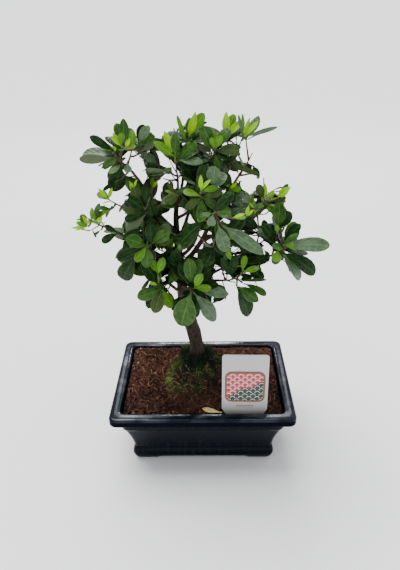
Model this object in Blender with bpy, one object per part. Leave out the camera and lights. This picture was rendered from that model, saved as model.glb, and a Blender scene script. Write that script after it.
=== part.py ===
# Azalea bonsai: a small evergreen azalea on a leaning trunk, in a glazed rectangular pot
# of coir soil, with a moss mound round the trunk's foot and a plant label at the front.
# Everything is worked out in millimetres and made into meshes in metres, +Z up.
# The origin is on the ground under the middle of the pot, and the label faces -Y.

import math
import random

import bmesh
import bpy
from mathutils import Vector
from mathutils.bvhtree import BVHTree

MM = 0.001
GAP = 0.3  # between pieces that touch

# Pot: outer size, then insets from the rim's outer edge
POT_LENGTH = 200.0
POT_DEPTH = 150.0
POT_HEIGHT = 76.0
POT_CORNER = 8.0
POT_WALL = 6.0
FLOOR_LOW = 4.0
FLOOR_TOP = 10.0
RIM_TALL = 10.0
RIM_WIDE = 11.5
RIM_EDGE = 1.6
RIM_ROUND = 2.2
RIM_STEPS = 2
NECK_INSET = 11.2
NECK_LOW = 52.0
COVE_LOW = 19.0
COVE_INSET = 21.5
COVE_POWER = 1.35
BAND_LOW = 3.0
BAND_TALL = 13.0
BAND_INSET = 21.2
BAND_BULGE = 1.5
NOTCH_HEIGHT = 17.5
NOTCH_DEEP = 0.6
LEDGE = 1.3
FOOT_INSET = 22.5
FOOT_WIDE = 9.0
FOOT_EDGE = 1.5
BAND_STEPS = 4
COVE_STEPS = 5
FLOOR_EDGE = 3.5
ARCH_TALL = 3.0
ARCH_SLOPE = 10.0
FOOT_LONG = 34.0
DRAIN_RADIUS = 6.0
DRAIN_APART = 70.0
DRAIN_SIDES = 12
CORNER_STEPS = 4
CORNER_LEAST = 3.5
CORNER_SHRINK = 0.12  # of the inset
CLEAR = 10.0  # how far a cutter goes past what it cuts

# Soil, moss mound and label
SOIL_TOP = 71.5
WALL_GAP = 0.45  # sideways, where a wall slants
MOUND_BASE = (-9.0, 2.0, 37.0, 41.0)  # centre x, y and half sizes
MOUND_TOP_RADIUS = 14.0
MOUND_EDGE = 1.2
MOUND_LUMP = 0.07
MOUND_SIDES = 16
MOUND_STEPS = 4
LABEL_WIDE = 48.5
LABEL_TALL = 78.0
LABEL_THICK = 0.8
LABEL_SUNK = 4.0
LABEL_PLACE = (45.0, -58.0)
LABEL_LEAN = 2.2  # degrees back from upright
LABEL_TURN = -1.5  # degrees about the upright
LABEL_ROUND = 3.5
LABEL_CHAMFER = 5.0
LABEL_STEPS = 3

# Trunk: the places its middle line goes through, and its radius at heights
TRUNK_LINE = (
    (-7.0, 24.0, 90.0), (-7.5, 22.0, 110.0), (-11.8, 18.0, 135.0), (-17.0, 13.0, 157.0),
    (-20.5, 9.0, 182.0), (-22.0, 4.0, 212.0), (-24.0, 0.0, 250.0), (-24.4, -2.0, 277.0),
    (-21.5, -4.0, 304.0),
)
TRUNK_RADII = ((90, 9.6), (97, 8.0), (108, 7.2), (150, 6.8), (185, 5.9), (215, 4.7), (250, 3.4), (304, 1.9))
TRUNK_SIDES = 16
TRUNK_RINGS = 15
FLARE_LOBES = 5
FLARE_DEPTH = 0.16
FLARE_TALL = 16.0

CURVE_STEPS = 24  # of a limb's smooth middle line

# Boughs and foliage
BOUGH_SIDES = 6
BOUGH_RINGS = 5
BOUGH_TIP_RADIUS = 1.5
CHILD_SHARE = 0.72  # a bough's foot against its parent there
BOUGH_FOOT_MOST = 3.4
BOUGH_FOOT_GAIN = 0.02  # of the bough's length
BOUGH_SWEEP = 0.9  # how strongly a limb keeps the heading of its ends
BOUGH_RISE = 0.55  # how far a bough leans along its parent as it leaves
BARK_CLEAR = 0.12
SEAT_STEP = 0.1
SEAT_MOST = 3.0
SEAT_BACK = 6.0
SEAT_REACH = 24.0
SEAT_GRAZE = 0.4
TWIG_RADIUS = 1.7
TWIG_TIP_RADIUS = 1.35
TWIG_SHARE = 0.85  # a side shoot's foot against the stem
TWIG_SIDES = 3
TWIG_RINGS = 4
TWIG_RISE = 0.25
SIDE_REACH = (20.0, 27.0)
SIDE_START = (0.30, 0.62)
SIDE_TILT = (48.0, 66.0)
GOLDEN_TURN = 137.5
LEAF_LENGTH = 33.0
LEAF_SPREAD = (0.82, 1.18)
LEAF_SHAPE = 0.47  # width against length
LEAF_WIDEST = 0.6
LEAF_THICK = 1.1
LEAF_DROP = 0.07
LEAF_STRAY = 10.0  # degrees
LEAF_ROLL = 0.35
LEAF_SUNK = 0.5  # past the twig's middle
WHORL = (  # leaves, angle from the shoot, share of full size, distance below the shoot's tip
    (4, 84.0, 1.0, 5.0),
    (2, 50.0, 0.86, 2.6),
    (1, 14.0, 0.8, 0.8),
)
LEAF_TRIES = ((0, 1.0), (20, 0.94), (-20, 0.94), (0, 0.78), (34, 0.72), (-34, 0.72))
SPACE_MARGIN = 0.2
SITE_SHARE = 0.75  # how far up its leading shoot a mass's space is centred

# Each row: the limb it grows from, how far along that, the bough's tip, the leading shoot's
# tip, side shoots, the first one's turn in degrees, leaf size. The trunk's own tip bears one.
CROWN = {
    "lower_left": ("trunk", 0.45, (-36, -12, 207), (-41, -39, 219), 1, 290, 1.0),
    "lower_centre": ("trunk", 0.49, (-13, -26, 207), (-10, -57, 226), 1, 180, 1.1),
    "lower_right": ("trunk", 0.52, (18, -18, 212), (35, -42, 227), 1, 260, 1.0),
    "far_right": ("lower_right", 0.55, (64, -24, 240), (82, -34, 255), 1, 20, 1.3),
    "left_middle": ("trunk", 0.585, (-44, -24, 244), (-52, -48, 260), 1, 340, 1.0),
    "far_left": ("trunk", 0.62, (-84, -20, 268), (-105, -29, 283), 1, 70, 0.72),
    "centre_low": ("trunk", 0.66, (-4, -36, 266), (0, -62, 288), 1, 350, 1.0),
    "front_centre": ("top_right", 0.36, (8, -42, 282), (14, -73, 304), 1, 70, 1.1),
    "front_upper": ("trunk", 0.86, (-4, -36, 300), (1, -60, 318), 1, 350, 0.9),
    "left_shoulder": ("trunk", 0.74, (-42, -14, 277), (-51, -32, 294), 1, 190, 1.0),
    "left_shoot": ("left_shoulder", 0.6, (-66, -18, 287), (-86, -25, 302), 0, 30, 0.75),
    "upper_left": ("trunk", 0.8, (-64, -8, 323), (-77, -13, 339), 1, 310, 1.15),
    "top_left": ("trunk", 1.0, None, (-22, -20, 335), 1, 190, 0.95),
    "top": ("trunk", 0.93, (-8, 6, 331), (-9, 0, 352), 1, 70, 1.0),
    "top_centre": ("top_right", 0.66, (8, -8, 324), (14, -20, 345), 1, 200, 0.9),
    "top_right": ("trunk", 0.6, (31, 3, 331), (39, 0, 349), 1, 160, 0.95),
    "right_shoulder": ("top_right", 0.56, (24, -14, 290), (28, -28, 309), 1, 290, 0.95),
    "right_spur": ("top_right", 0.28, (52, 2, 270), (64, 0, 290), 1, 200, 0.8),
    "back_top": ("trunk", 0.9, (-18, 26, 320), (-24, 40, 338), 2, 90, 1.0),
    "back_upper_left": ("upper_left", 0.5, (-48, 32, 314), (-60, 46, 330), 1, 180, 1.0),
    "back_upper_right": ("top_right", 0.6, (42, 34, 310), (54, 48, 326), 2, 40, 1.0),
    "left_side": ("trunk", 0.54, (-62, 14, 236), (-82, 18, 248), 1, 100, 1.0),
    "right_side": ("top_right", 0.13, (52, 16, 232), (72, 22, 244), 1, 60, 1.0),
    "back_left": ("trunk", 0.64, (-56, 42, 268), (-74, 56, 284), 2, 100, 1.0),
    "back_right": ("top_right", 0.24, (56, 42, 266), (76, 56, 282), 2, 250, 1.0),
    "back_centre": ("trunk", 0.72, (-8, 54, 284), (-6, 68, 300), 2, 140, 1.0),
    "back_low_left": ("trunk", 0.48, (-38, 48, 218), (-50, 68, 232), 2, 30, 1.0),
    "back_low_right": ("trunk", 0.54, (22, 50, 218), (38, 68, 232), 2, 190, 1.0),
}

POT_GLAZE = ((0.008, 0.014, 0.032), 0.12, 0.0)
SOIL_COIR = ((0.075, 0.030, 0.016), 0.95, 0.0)
MOSS = ((0.030, 0.048, 0.014), 0.95, 0.0)
LABEL_CARD = ((0.80, 0.78, 0.75), 0.45, 0.0)
BARK = ((0.085, 0.062, 0.045), 0.85, 0.0)
BOUGH_BARK = ((0.060, 0.036, 0.022), 0.8, 0.0)
FOLIAGE = ((0.022, 0.085, 0.012), 0.35, 0.0)


def clear_scene():
    for thing in list(bpy.data.objects):
        bpy.data.objects.remove(thing, do_unlink=True)


def paint(name, look):
    colour, roughness, metallic = look
    material = bpy.data.materials.new(name)
    material.use_nodes = True
    shader = material.node_tree.nodes["Principled BSDF"]
    shader.inputs["Base Color"].default_value = (*colour, 1.0)
    shader.inputs["Roughness"].default_value = roughness
    shader.inputs["Metallic"].default_value = metallic
    return material


def make_object(name, shape, collection=None):
    verts, faces = shape
    mesh = bpy.data.meshes.new(name)
    mesh.from_pydata([Vector(v) * MM for v in verts], [], faces)
    thing = bpy.data.objects.new(name, mesh)
    (collection or bpy.context.scene.collection).objects.link(thing)
    return thing


def finish_object(thing, look, family, sharp=50.0):
    thing.data.materials.clear()
    thing.data.materials.append(paint(thing.name, look))
    thing.data.shade_smooth()
    thing.data.set_sharp_from_angle(angle=math.radians(sharp))
    thing.parent = family


# Lofted shapes

def loft(rings, hub=None):
    """Skins rings of equal length and closes both ends, the first as a fan when it has a hub."""
    count = len(rings[0])
    verts = [Vector(v) for ring in rings for v in ring]
    faces = []
    for lower in range(0, count * (len(rings) - 1), count):
        for i in range(count):
            j = (i + 1) % count
            faces.append((lower + i, lower + j, lower + count + j, lower + count + i))
    faces.append(tuple(range(len(verts) - count, len(verts))))
    if hub is None:
        faces.append(tuple(reversed(range(count))))
        return verts, faces
    verts.append(Vector(hub))
    faces += [((i + 1) % count, i, len(verts) - 1) for i in range(count)]
    return verts, faces


def rounded_ring(inset, height, corner):
    """A rounded rectangle, counter-clockwise from above, set in from the rim's outline."""
    half_x = POT_LENGTH / 2 - inset
    half_y = POT_DEPTH / 2 - inset
    ring = []
    for quarter, (sx, sy) in enumerate(((1, 1), (-1, 1), (-1, -1), (1, -1))):
        for step in range(CORNER_STEPS + 1):
            angle = math.pi / 2 * (quarter + step / CORNER_STEPS)
            x = sx * (half_x - corner) + corner * math.cos(angle)
            y = sy * (half_y - corner) + corner * math.sin(angle)
            ring.append(Vector((x, y, height)))
    return ring


def pot_outer():
    """Inset and height of the outside, from the foot up to the rim."""
    line = [(FOOT_INSET + FOOT_EDGE, 0.0), (FOOT_INSET, FOOT_EDGE)]
    for step in range(BAND_STEPS + 1):
        share = step / BAND_STEPS
        line.append((BAND_INSET - BAND_BULGE * math.sin(math.pi * share), BAND_LOW + BAND_TALL * share))
    line.append((COVE_INSET + NOTCH_DEEP, NOTCH_HEIGHT))
    for step in range(COVE_STEPS + 1):
        share = step / COVE_STEPS
        height = COVE_LOW + (NECK_LOW - LEDGE - COVE_LOW) * share
        line.append((COVE_INSET - (COVE_INSET - NECK_INSET - LEDGE) * share ** COVE_POWER, height))
    under = POT_HEIGHT - RIM_TALL
    line += [(NECK_INSET, NECK_LOW), (NECK_INSET, under - RIM_EDGE / 2), (RIM_EDGE, under)]
    line.append((0.0, under + RIM_EDGE))
    for step in range(RIM_STEPS + 1):
        angle = math.pi / 2 * step / RIM_STEPS
        line.append((RIM_ROUND * (1 - math.cos(angle)), POT_HEIGHT - RIM_ROUND * (1 - math.sin(angle))))
    return line


def pot_inner():
    """Inset and height of the inside, from the rim down to the floor."""
    neck = NECK_INSET + POT_WALL
    cove = COVE_INSET + POT_WALL
    return [
        (RIM_WIDE - RIM_EDGE, POT_HEIGHT), (RIM_WIDE, POT_HEIGHT - RIM_EDGE / 2),
        (RIM_WIDE + RIM_EDGE, POT_HEIGHT - RIM_EDGE * 2), (neck - RIM_EDGE, POT_HEIGHT - RIM_TALL),
        (neck, NECK_LOW), ((neck + cove) / 2 + LEDGE, (NECK_LOW + COVE_LOW) / 2), (cove, COVE_LOW),
        (cove + FLOOR_EDGE / 2, FLOOR_TOP + FLOOR_EDGE / 2), (cove + FLOOR_EDGE, FLOOR_TOP),
    ]


def corner_at(inset):
    return max(POT_CORNER - inset * CORNER_SHRINK, CORNER_LEAST)


def cutter(name, shape):
    thing = make_object(name, shape)
    thing.hide_render = True
    thing.display_type = "WIRE"
    return thing


def cut(thing, tool):
    change = thing.modifiers.new(tool.name, "BOOLEAN")
    change.operation = "DIFFERENCE"
    change.object = tool


def arch_tool(name, lengthways):
    """A low arch through the foot band, between the corner feet."""
    across = POT_LENGTH if lengthways else POT_DEPTH
    half = across / 2 - FOOT_INSET - FOOT_LONG
    low = half + ARCH_SLOPE * (1 + CLEAR / ARCH_TALL)
    section = ((-low, -CLEAR), (low, -CLEAR), (half, ARCH_TALL), (-half, ARCH_TALL))
    rings = []
    for end in (-POT_LENGTH, POT_LENGTH):
        rings.append([(-u, end, w) if lengthways else (end, u, w) for u, w in section])
    return cutter(name, loft(rings))


def drain_tool(name, place_x):
    rings = []
    for height in (-CLEAR, FLOOR_TOP + CLEAR):
        ring = []
        for i in range(DRAIN_SIDES):
            angle = math.tau * i / DRAIN_SIDES
            ring.append((place_x + DRAIN_RADIUS * math.cos(angle), DRAIN_RADIUS * math.sin(angle), height))
        rings.append(ring)
    return cutter(name, loft(rings))


def make_pot():
    hollow = FOOT_INSET + FOOT_WIDE
    line = [(hollow + FOOT_EDGE, FLOOR_LOW), (hollow, 0.0)] + pot_outer() + pot_inner()
    rings = [rounded_ring(inset, height, corner_at(inset)) for inset, height in line]
    pot = make_object("pot", loft(rings))
    cut(pot, arch_tool("arch_sideways", False))
    cut(pot, arch_tool("arch_lengthways", True))
    for side, place_x in (("left", -DRAIN_APART / 2), ("right", DRAIN_APART / 2)):
        cut(pot, drain_tool("drain_" + side, place_x))
    return pot


def make_soil():
    """Fills the pot's inside, clear of its walls, up to a level top."""
    walls = list(reversed(pot_inner()))
    line = [(inset + WALL_GAP, height + GAP) for inset, height in walls if height + GAP < SOIL_TOP]
    edge = between([(height, inset) for inset, height in walls], SOIL_TOP)
    line.append((edge + WALL_GAP, SOIL_TOP))
    rings = [rounded_ring(inset, height, corner_at(inset)) for inset, height in line]
    return make_object("soil", loft(rings))


def make_mound():
    """A low dome from a wide oval on the soil to a small level top under the trunk."""
    base_x, base_y, half_x, half_y = MOUND_BASE
    foot = TRUNK_LINE[0]
    top = foot[2] - GAP
    mound_foot = SOIL_TOP + GAP
    rings = []
    for step in range(MOUND_STEPS + 1):
        share = step / MOUND_STEPS
        height = mound_foot + MOUND_EDGE + (top - MOUND_EDGE - mound_foot) * math.sin(math.pi / 2 * share)
        ring = []
        for i in range(MOUND_SIDES):
            angle = math.tau * i / MOUND_SIDES
            lump = 1.0 + MOUND_LUMP * math.sin(3 * angle + 1.0)
            x = (base_x + half_x * lump * math.cos(angle)) * (1 - share)
            y = (base_y + half_y * lump * math.sin(angle)) * (1 - share)
            x += (foot[0] + MOUND_TOP_RADIUS * math.cos(angle)) * share
            y += (foot[1] + MOUND_TOP_RADIUS * math.sin(angle)) * share
            ring.append((x, y, height))
        rings.append(ring)
    floor = [(x, y, mound_foot) for x, y, _ in rings[0]]
    return make_object("moss_mound", loft([floor] + rings))


def label_outline():
    """The card's outline from the front: chamfered below, rounded above."""
    half = LABEL_WIDE / 2
    line = [(-half + LABEL_CHAMFER, 0.0), (half - LABEL_CHAMFER, 0.0), (half, LABEL_CHAMFER)]
    for side, start in ((1, 0.0), (-1, 90.0)):
        for step in range(LABEL_STEPS + 1):
            angle = math.radians(start + 90.0 * step / LABEL_STEPS)
            x = side * (half - LABEL_ROUND) + LABEL_ROUND * math.cos(angle)
            line.append((x, LABEL_TALL - LABEL_ROUND + LABEL_ROUND * math.sin(angle)))
    line.append((-half, LABEL_CHAMFER))
    return line


def place_label(thing):
    thing.location = Vector((*LABEL_PLACE, SOIL_TOP - LABEL_SUNK)) * MM
    thing.rotation_euler = (math.radians(-LABEL_LEAN), 0.0, math.radians(LABEL_TURN))


def make_label(soil):
    """A thin card pushed into the soil, which has a slit for it."""
    outline = label_outline()
    half = LABEL_THICK / 2
    card = make_object("plant_label", loft([[(x, y, z) for x, z in outline] for y in (half, -half)]))
    place_label(card)
    wide = LABEL_WIDE / 2 + GAP
    deep = half + GAP
    section = ((-wide, deep), (-wide, -deep), (wide, -deep), (wide, deep))
    slit = cutter("label_slit", loft([[(x, y, z) for x, y in section] for z in (-GAP, LABEL_SUNK + CLEAR)]))
    place_label(slit)
    cut(soil, slit)
    return card


# Limbs: each is a list of stations (place, radius) from foot to tip

def through(points, count):
    """Places evenly shared along a smooth curve through the given points."""
    points = [Vector(p) for p in points]
    padded = [points[0] * 2 - points[1]] + points + [points[-1] * 2 - points[-2]]
    fine = []
    for i in range(1, len(padded) - 2):
        a, b, c, d = padded[i - 1:i + 3]
        for step in range(CURVE_STEPS):
            t = step / CURVE_STEPS
            fine.append(0.5 * (2 * b + (c - a) * t + (2 * a - 5 * b + 4 * c - d) * t * t
                               + (3 * b - a - 3 * c + d) * t ** 3))
    fine.append(points[-1])
    return spread(fine, count)


def spread(line, count):
    """The same line given by evenly spaced places."""
    marks = [0.0]
    for a, b in zip(line, line[1:]):
        marks.append(marks[-1] + (b - a).length)
    places = []
    seat = 0
    for i in range(count):
        want = marks[-1] * i / (count - 1)
        while seat < len(marks) - 2 and marks[seat + 1] < want:
            seat += 1
        share = (want - marks[seat]) / max(marks[seat + 1] - marks[seat], 1e-9)
        places.append(line[seat].lerp(line[seat + 1], share))
    return places


def sweep(start, start_way, end, end_way, count):
    """Places along a curve that leaves start and reaches end in the given ways."""
    span = (end - start).length * BOUGH_SWEEP
    line = []
    for i in range(CURVE_STEPS + 1):
        t = i / CURVE_STEPS
        line.append(start * (2 * t ** 3 - 3 * t * t + 1) + end * (3 * t * t - 2 * t ** 3)
                    + start_way * span * (t ** 3 - 2 * t * t + t) + end_way * span * (t ** 3 - t * t))
    return spread(line, count)


def between(table, value):
    for (low, a), (high, b) in zip(table, table[1:]):
        if value <= high:
            share = max(value - low, 0.0) / (high - low)
            return a + (b - a) * share
    return table[-1][1]


def frames(places):
    """Two directions square to the line at each place, turning as little as they can."""
    side = None
    found = []
    for i, place in enumerate(places):
        way = (places[min(i + 1, len(places) - 1)] - places[max(i - 1, 0)]).normalized()
        if side is None:
            side = way.orthogonal()
            if abs(way.z) > 0.9:
                side = Vector((1, 0, 0))
        side = (side - way * side.dot(way)).normalized()
        found.append((way, side, way.cross(side)))
    return found


def rings_of(stations, sides, swell=None):
    rings = []
    for (place, radius), (_, u, v) in zip(stations, frames([s[0] for s in stations])):
        ring = []
        for i in range(sides):
            angle = math.tau * i / sides
            reach = radius * (swell(angle, place) if swell else 1.0)
            ring.append(place + u * (reach * math.cos(angle)) + v * (reach * math.sin(angle)))
        rings.append(ring)
    return rings


def root_flare(angle, place):
    """Lobes that fade out a little above the foot."""
    fade = max(0.0, 1.0 - (place.z - TRUNK_LINE[0][2]) / FLARE_TALL)
    return 1.0 + FLARE_DEPTH * fade * math.cos(FLARE_LOBES * angle + 0.6)


def make_trunk():
    places = through(TRUNK_LINE, TRUNK_RINGS)
    stations = [(p, between(TRUNK_RADII, p.z)) for p in places]
    rings = rings_of(stations, TRUNK_SIDES, root_flare)
    rings[0] = [Vector((v.x, v.y, TRUNK_LINE[0][2])) for v in rings[0]]
    return stations, loft(rings)


def swollen(shape, by):
    """The same closed shape with its skin moved out by a small distance."""
    verts, faces = shape
    normals = [Vector() for _ in verts]
    for face in faces:
        a, b, c = (verts[i] for i in face[:3])
        way = (b - a).cross(c - a).normalized()
        for i in face:
            normals[i] += way
    return [v + n.normalized() * by for v, n in zip(verts, normals)], faces


def tree_of(shape):
    return BVHTree.FromPolygons(*shape)


def station_at(stations, share):
    seat = share * (len(stations) - 1)
    low = min(int(seat), len(stations) - 2)
    part = seat - low
    place = stations[low][0].lerp(stations[low + 1][0], part)
    radius = stations[low][1] + (stations[low + 1][1] - stations[low][1]) * part
    return place, radius, (stations[low + 1][0] - stations[low][0]).normalized()


def bough_stations(parent, share, tip, lead):
    """From the middle of the parent limb out to the tip, where the foliage takes over."""
    start, parent_radius, parent_way = station_at(parent, share)
    tip = Vector(tip)
    out = (tip - start) - parent_way * (tip - start).dot(parent_way)
    start_way = (out.normalized() + parent_way * BOUGH_RISE).normalized()
    end_way = (Vector(lead) - tip).normalized()
    places = sweep(start, start_way, tip, end_way, CURVE_STEPS * 2)
    outside = [p for p in places if distance_to_line(p, start, parent_way) > parent_radius + GAP]
    slender = BOUGH_TIP_RADIUS + (tip - start).length * BOUGH_FOOT_GAIN
    foot_radius = min(parent_radius * CHILD_SHARE, slender, BOUGH_FOOT_MOST)
    foot_radius = max(foot_radius, BOUGH_TIP_RADIUS)
    stations = []
    for i, place in enumerate(spread(outside, BOUGH_RINGS)):
        fade = i / (BOUGH_RINGS - 1)
        stations.append((place, foot_radius + (BOUGH_TIP_RADIUS - foot_radius) * fade))
    return stations


def distance_to_line(point, start, way):
    off = point - start
    return (off - way * off.dot(way)).length


def seat_on(parent_tree, rings, way, lift):
    """Moves the foot ring along the bough until it lies just off the parent's bark."""
    middle = sum(rings[0], Vector()) / len(rings[0])
    seated = []
    for point in rings[0] + [middle]:
        hit, normal, _, _ = parent_tree.ray_cast(point + way * SEAT_BACK, -way, SEAT_REACH)
        if hit is None:
            seated.append(point)
            continue
        seated.append(hit + way * (lift / max(abs(normal.dot(way)), SEAT_GRAZE)))
    return seated[:-1], seated[-1]


def make_bough(parent_shape, stations):
    """A tapering limb whose foot follows the parent's surface."""
    parent_tree = tree_of(parent_shape)
    guard = tree_of(swollen(parent_shape, BARK_CLEAR))
    rings = rings_of(stations, BOUGH_SIDES)
    way = (stations[1][0] - stations[0][0]).normalized()
    lift = GAP
    while True:
        foot, hub = seat_on(parent_tree, rings, way, lift)
        shape = loft([foot] + rings[1:], hub)
        if not tree_of(shape).overlap(guard) or lift > SEAT_MOST:
            return shape
        lift += SEAT_STEP


def grow_limbs():
    """The trunk and every bough, as name: (stations, shape)."""
    limbs = {"trunk": make_trunk()}
    waiting = [name for name, row in CROWN.items() if row[2]]
    while waiting:
        for name in list(waiting):
            parent, share, tip, lead = CROWN[name][:4]
            if parent in limbs:
                stations = bough_stations(limbs[parent][0], share, tip, lead)
                limbs[name] = (stations, make_bough(limbs[parent][1], stations))
                waiting.remove(name)
    return limbs


# Foliage

def twig_shape(start, end, start_way, thick, thin):
    """A three-sided twig that leaves its limb in one way and bends up to its tip."""
    end_way = ((end - start).normalized() + Vector((0, 0, TWIG_RISE))).normalized()
    places = sweep(start, start_way, end, end_way, TWIG_RINGS)
    stations = [(p, thick + (thin - thick) * i / (TWIG_RINGS - 1)) for i, p in enumerate(places)]
    rings = rings_of(stations, TWIG_SIDES)
    rings[0] = [p - start_way * (p - start).dot(start_way) for p in rings[0]]
    return stations, loft(rings)


def mass_skeleton(name, limbs):
    """The mass's twigs: a stem on from its bough's tip, and side shoots by a seeded rule."""
    parent, _, tip, lead, sides, turn, _ = CROWN[name]
    bough = limbs[name if tip else parent][0]
    way = (bough[-1][0] - bough[-2][0]).normalized()
    start = bough[-1][0] + way * GAP
    thick = min(TWIG_RADIUS, bough[-1][1])
    stem = twig_shape(start, Vector(lead), way, thick, TWIG_TIP_RADIUS)
    shoots = [stem]
    rng = random.Random(name)
    for i in range(sides):
        share = SIDE_START[0] + (SIDE_START[1] - SIDE_START[0]) * i / max(sides - 1, 1)
        root, _, stem_way = station_at(stem[0], share)
        azimuth = math.radians(turn + GOLDEN_TURN * i)
        tilt = math.radians(rng.uniform(*SIDE_TILT))
        u = stem_way.orthogonal().normalized()
        v = stem_way.cross(u)
        out = u * math.cos(azimuth) + v * math.sin(azimuth)
        heading = stem_way * math.cos(tilt) + out * math.sin(tilt)
        end = root + heading * rng.uniform(*SIDE_REACH)
        shoots.append(twig_shape(root, end, heading, TWIG_RADIUS * TWIG_SHARE, TWIG_TIP_RADIUS))
    return shoots


def leaf_shape(root, way, face, length, width):
    """A closed eight-sided leaf, widest past its middle, with its tip dropped a little."""
    side = way.cross(face).normalized()
    face = side.cross(way).normalized()
    middle = root + way * (length * LEAF_WIDEST)
    half = LEAF_THICK / 2
    verts = [
        root, root + way * length - face * (length * LEAF_DROP),
        middle - side * (width / 2), middle + side * (width / 2),
        middle + face * half, middle - face * half,
    ]
    faces = [(0, 4, 2), (0, 3, 4), (1, 2, 4), (1, 4, 3), (0, 2, 5), (0, 5, 3), (1, 5, 2), (1, 3, 5)]
    return verts, faces


def leaf_plan(name, shoots):
    """Every leaf of a mass as root, way, face, length and width, tier by tier up each shoot."""
    rng = random.Random(name + " leaves")
    size = CROWN[name][6]
    plan = []
    for stations, _ in shoots:
        tip = stations[-1][0]
        axis = (tip - stations[-2][0]).normalized()
        u = axis.orthogonal().normalized()
        v = axis.cross(u)
        turn = rng.uniform(0.0, 360.0)
        for count, tilt, share, below in WHORL:
            for _ in range(count):
                turn += GOLDEN_TURN
                lean = tilt + rng.uniform(-LEAF_STRAY, LEAF_STRAY)
                length = LEAF_LENGTH * size * share * rng.uniform(*LEAF_SPREAD)
                roll = rng.uniform(-LEAF_ROLL, LEAF_ROLL)
                plan.append((tip - axis * below, axis, u, v, turn, lean, length, roll))
    return plan


def leaf_from(spot, extra_turn, shrink):
    root, axis, u, v, turn, lean, length, roll = spot
    angle = math.radians(turn + extra_turn)
    tilt = math.radians(lean)
    out = u * math.cos(angle) + v * math.sin(angle)
    way = axis * math.cos(tilt) + out * math.sin(tilt)
    face = axis + way.cross(axis) * roll
    sunk = root - way * LEAF_SUNK
    length *= shrink
    return leaf_shape(sunk, way, face, length, length * LEAF_SHAPE)


def in_space(verts, site, others):
    """True when every point is nearer to this mass's middle than to any other's."""
    for other in others:
        way = (other - site).normalized()
        limit = (other - site).length / 2 - SPACE_MARGIN
        if any((v - site).dot(way) > limit for v in verts):
            return False
    return True


def place_leaves(name, skeletons, sites, limb_trees):
    """Leaves that stay in the mass's own space and touch no limb or other mass's twig."""
    others = [site for other, site in sites.items() if other != name]
    kept = []
    for spot in leaf_plan(name, skeletons[name]):
        for extra_turn, shrink in LEAF_TRIES:
            leaf = leaf_from(spot, extra_turn, shrink)
            if not in_space(leaf[0], sites[name], others):
                continue
            tree = tree_of(leaf)
            if any(tree.overlap(limb) for owner, limb in limb_trees if owner != name):
                continue
            kept.append(leaf)
            break
    return kept


def enclosed(skin):
    """The volume that a closed set of faces holds, below zero for a hollow."""
    volume = 0.0
    for face in skin:
        corners = [v.co for v in face.verts]
        for b, c in zip(corners[1:], corners[2:]):
            volume += corners[0].dot(b.cross(c)) / 6
    return volume


def keep_one_body(mesh):
    """Keeps the largest outer skin, so a sealed hollow is filled and a loose scrap goes."""
    bm = bmesh.new()
    bm.from_mesh(mesh)
    left = set(bm.faces)
    skins = []
    while left:
        skin = [left.pop()]
        for face in skin:
            near = {other for edge in face.edges for other in edge.link_faces} & left
            left -= near
            skin += near
        skins.append((enclosed(skin), skin))
    skins.sort(key=lambda item: item[0])
    extra = [face for _, skin in skins[:-1] for face in skin]
    bmesh.ops.delete(bm, geom=extra, context="FACES")
    loose = [v for v in bm.verts if not v.link_faces]
    bmesh.ops.delete(bm, geom=loose, context="VERTS")
    bm.to_mesh(mesh)
    bm.free()


def fuse(name, shapes):
    """Joins closed shapes into one body."""
    body = make_object(name, shapes[0])
    group = bpy.data.collections.new(name + "_parts")
    bpy.context.scene.collection.children.link(group)
    for i, shape in enumerate(shapes[1:]):
        make_object(f"{name}_part_{i}", shape, group)
    join = body.modifiers.new("join", "BOOLEAN")
    join.operation = "UNION"
    join.operand_type = "COLLECTION"
    join.collection = group
    bpy.context.view_layer.update()
    joined = bpy.data.meshes.new_from_object(body.evaluated_get(bpy.context.evaluated_depsgraph_get()))
    body.modifiers.clear()
    body.data = joined
    for thing in list(group.objects):
        bpy.data.objects.remove(thing, do_unlink=True)
    bpy.data.collections.remove(group)
    keep_one_body(joined)
    return body


def mass_site(name, skeleton):
    """The middle of the mass's own space, most of the way up its leading shoot."""
    base = skeleton[0][0][0][0]
    return base.lerp(Vector(CROWN[name][3]), SITE_SHARE)


def make_foliage(limbs, family):
    skeletons = {name: mass_skeleton(name, limbs) for name in CROWN}
    sites = {name: mass_site(name, shoots) for name, shoots in skeletons.items()}
    limb_trees = [("", tree_of(swollen(shape, GAP))) for _, shape in limbs.values()]
    for name, shoots in skeletons.items():
        limb_trees += [(name, tree_of(swollen(shape, GAP))) for _, shape in shoots]
    for name, shoots in skeletons.items():
        leaves = place_leaves(name, skeletons, sites, limb_trees)
        mass = fuse("foliage_" + name, [shape for _, shape in shoots] + leaves)
        finish_object(mass, FOLIAGE, family, sharp=30.0)


def main():
    clear_scene()
    family = bpy.data.objects.new("azalea_bonsai", None)
    bpy.context.scene.collection.objects.link(family)
    finish_object(make_pot(), POT_GLAZE, family)
    soil = make_soil()
    finish_object(make_label(soil), LABEL_CARD, family)
    finish_object(soil, SOIL_COIR, family)
    finish_object(make_mound(), MOSS, family)
    limbs = grow_limbs()
    for name, (_, shape) in limbs.items():
        whole = "trunk" if name == "trunk" else "bough_" + name
        finish_object(make_object(whole, shape), BARK if name == "trunk" else BOUGH_BARK, family)
    make_foliage(limbs, family)


main()
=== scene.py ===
# The looks of a small azalea bonsai in its glazed pot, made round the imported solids.
# Lengths in the dictionaries are millimetres and angles degrees, unless a note says otherwise.
# +Z is up and -Y is the front.

import math
import random

import bmesh
import bpy
import numpy as np
from mathutils import Matrix, Vector, noise
from mathutils.bvhtree import BVHTree


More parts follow.
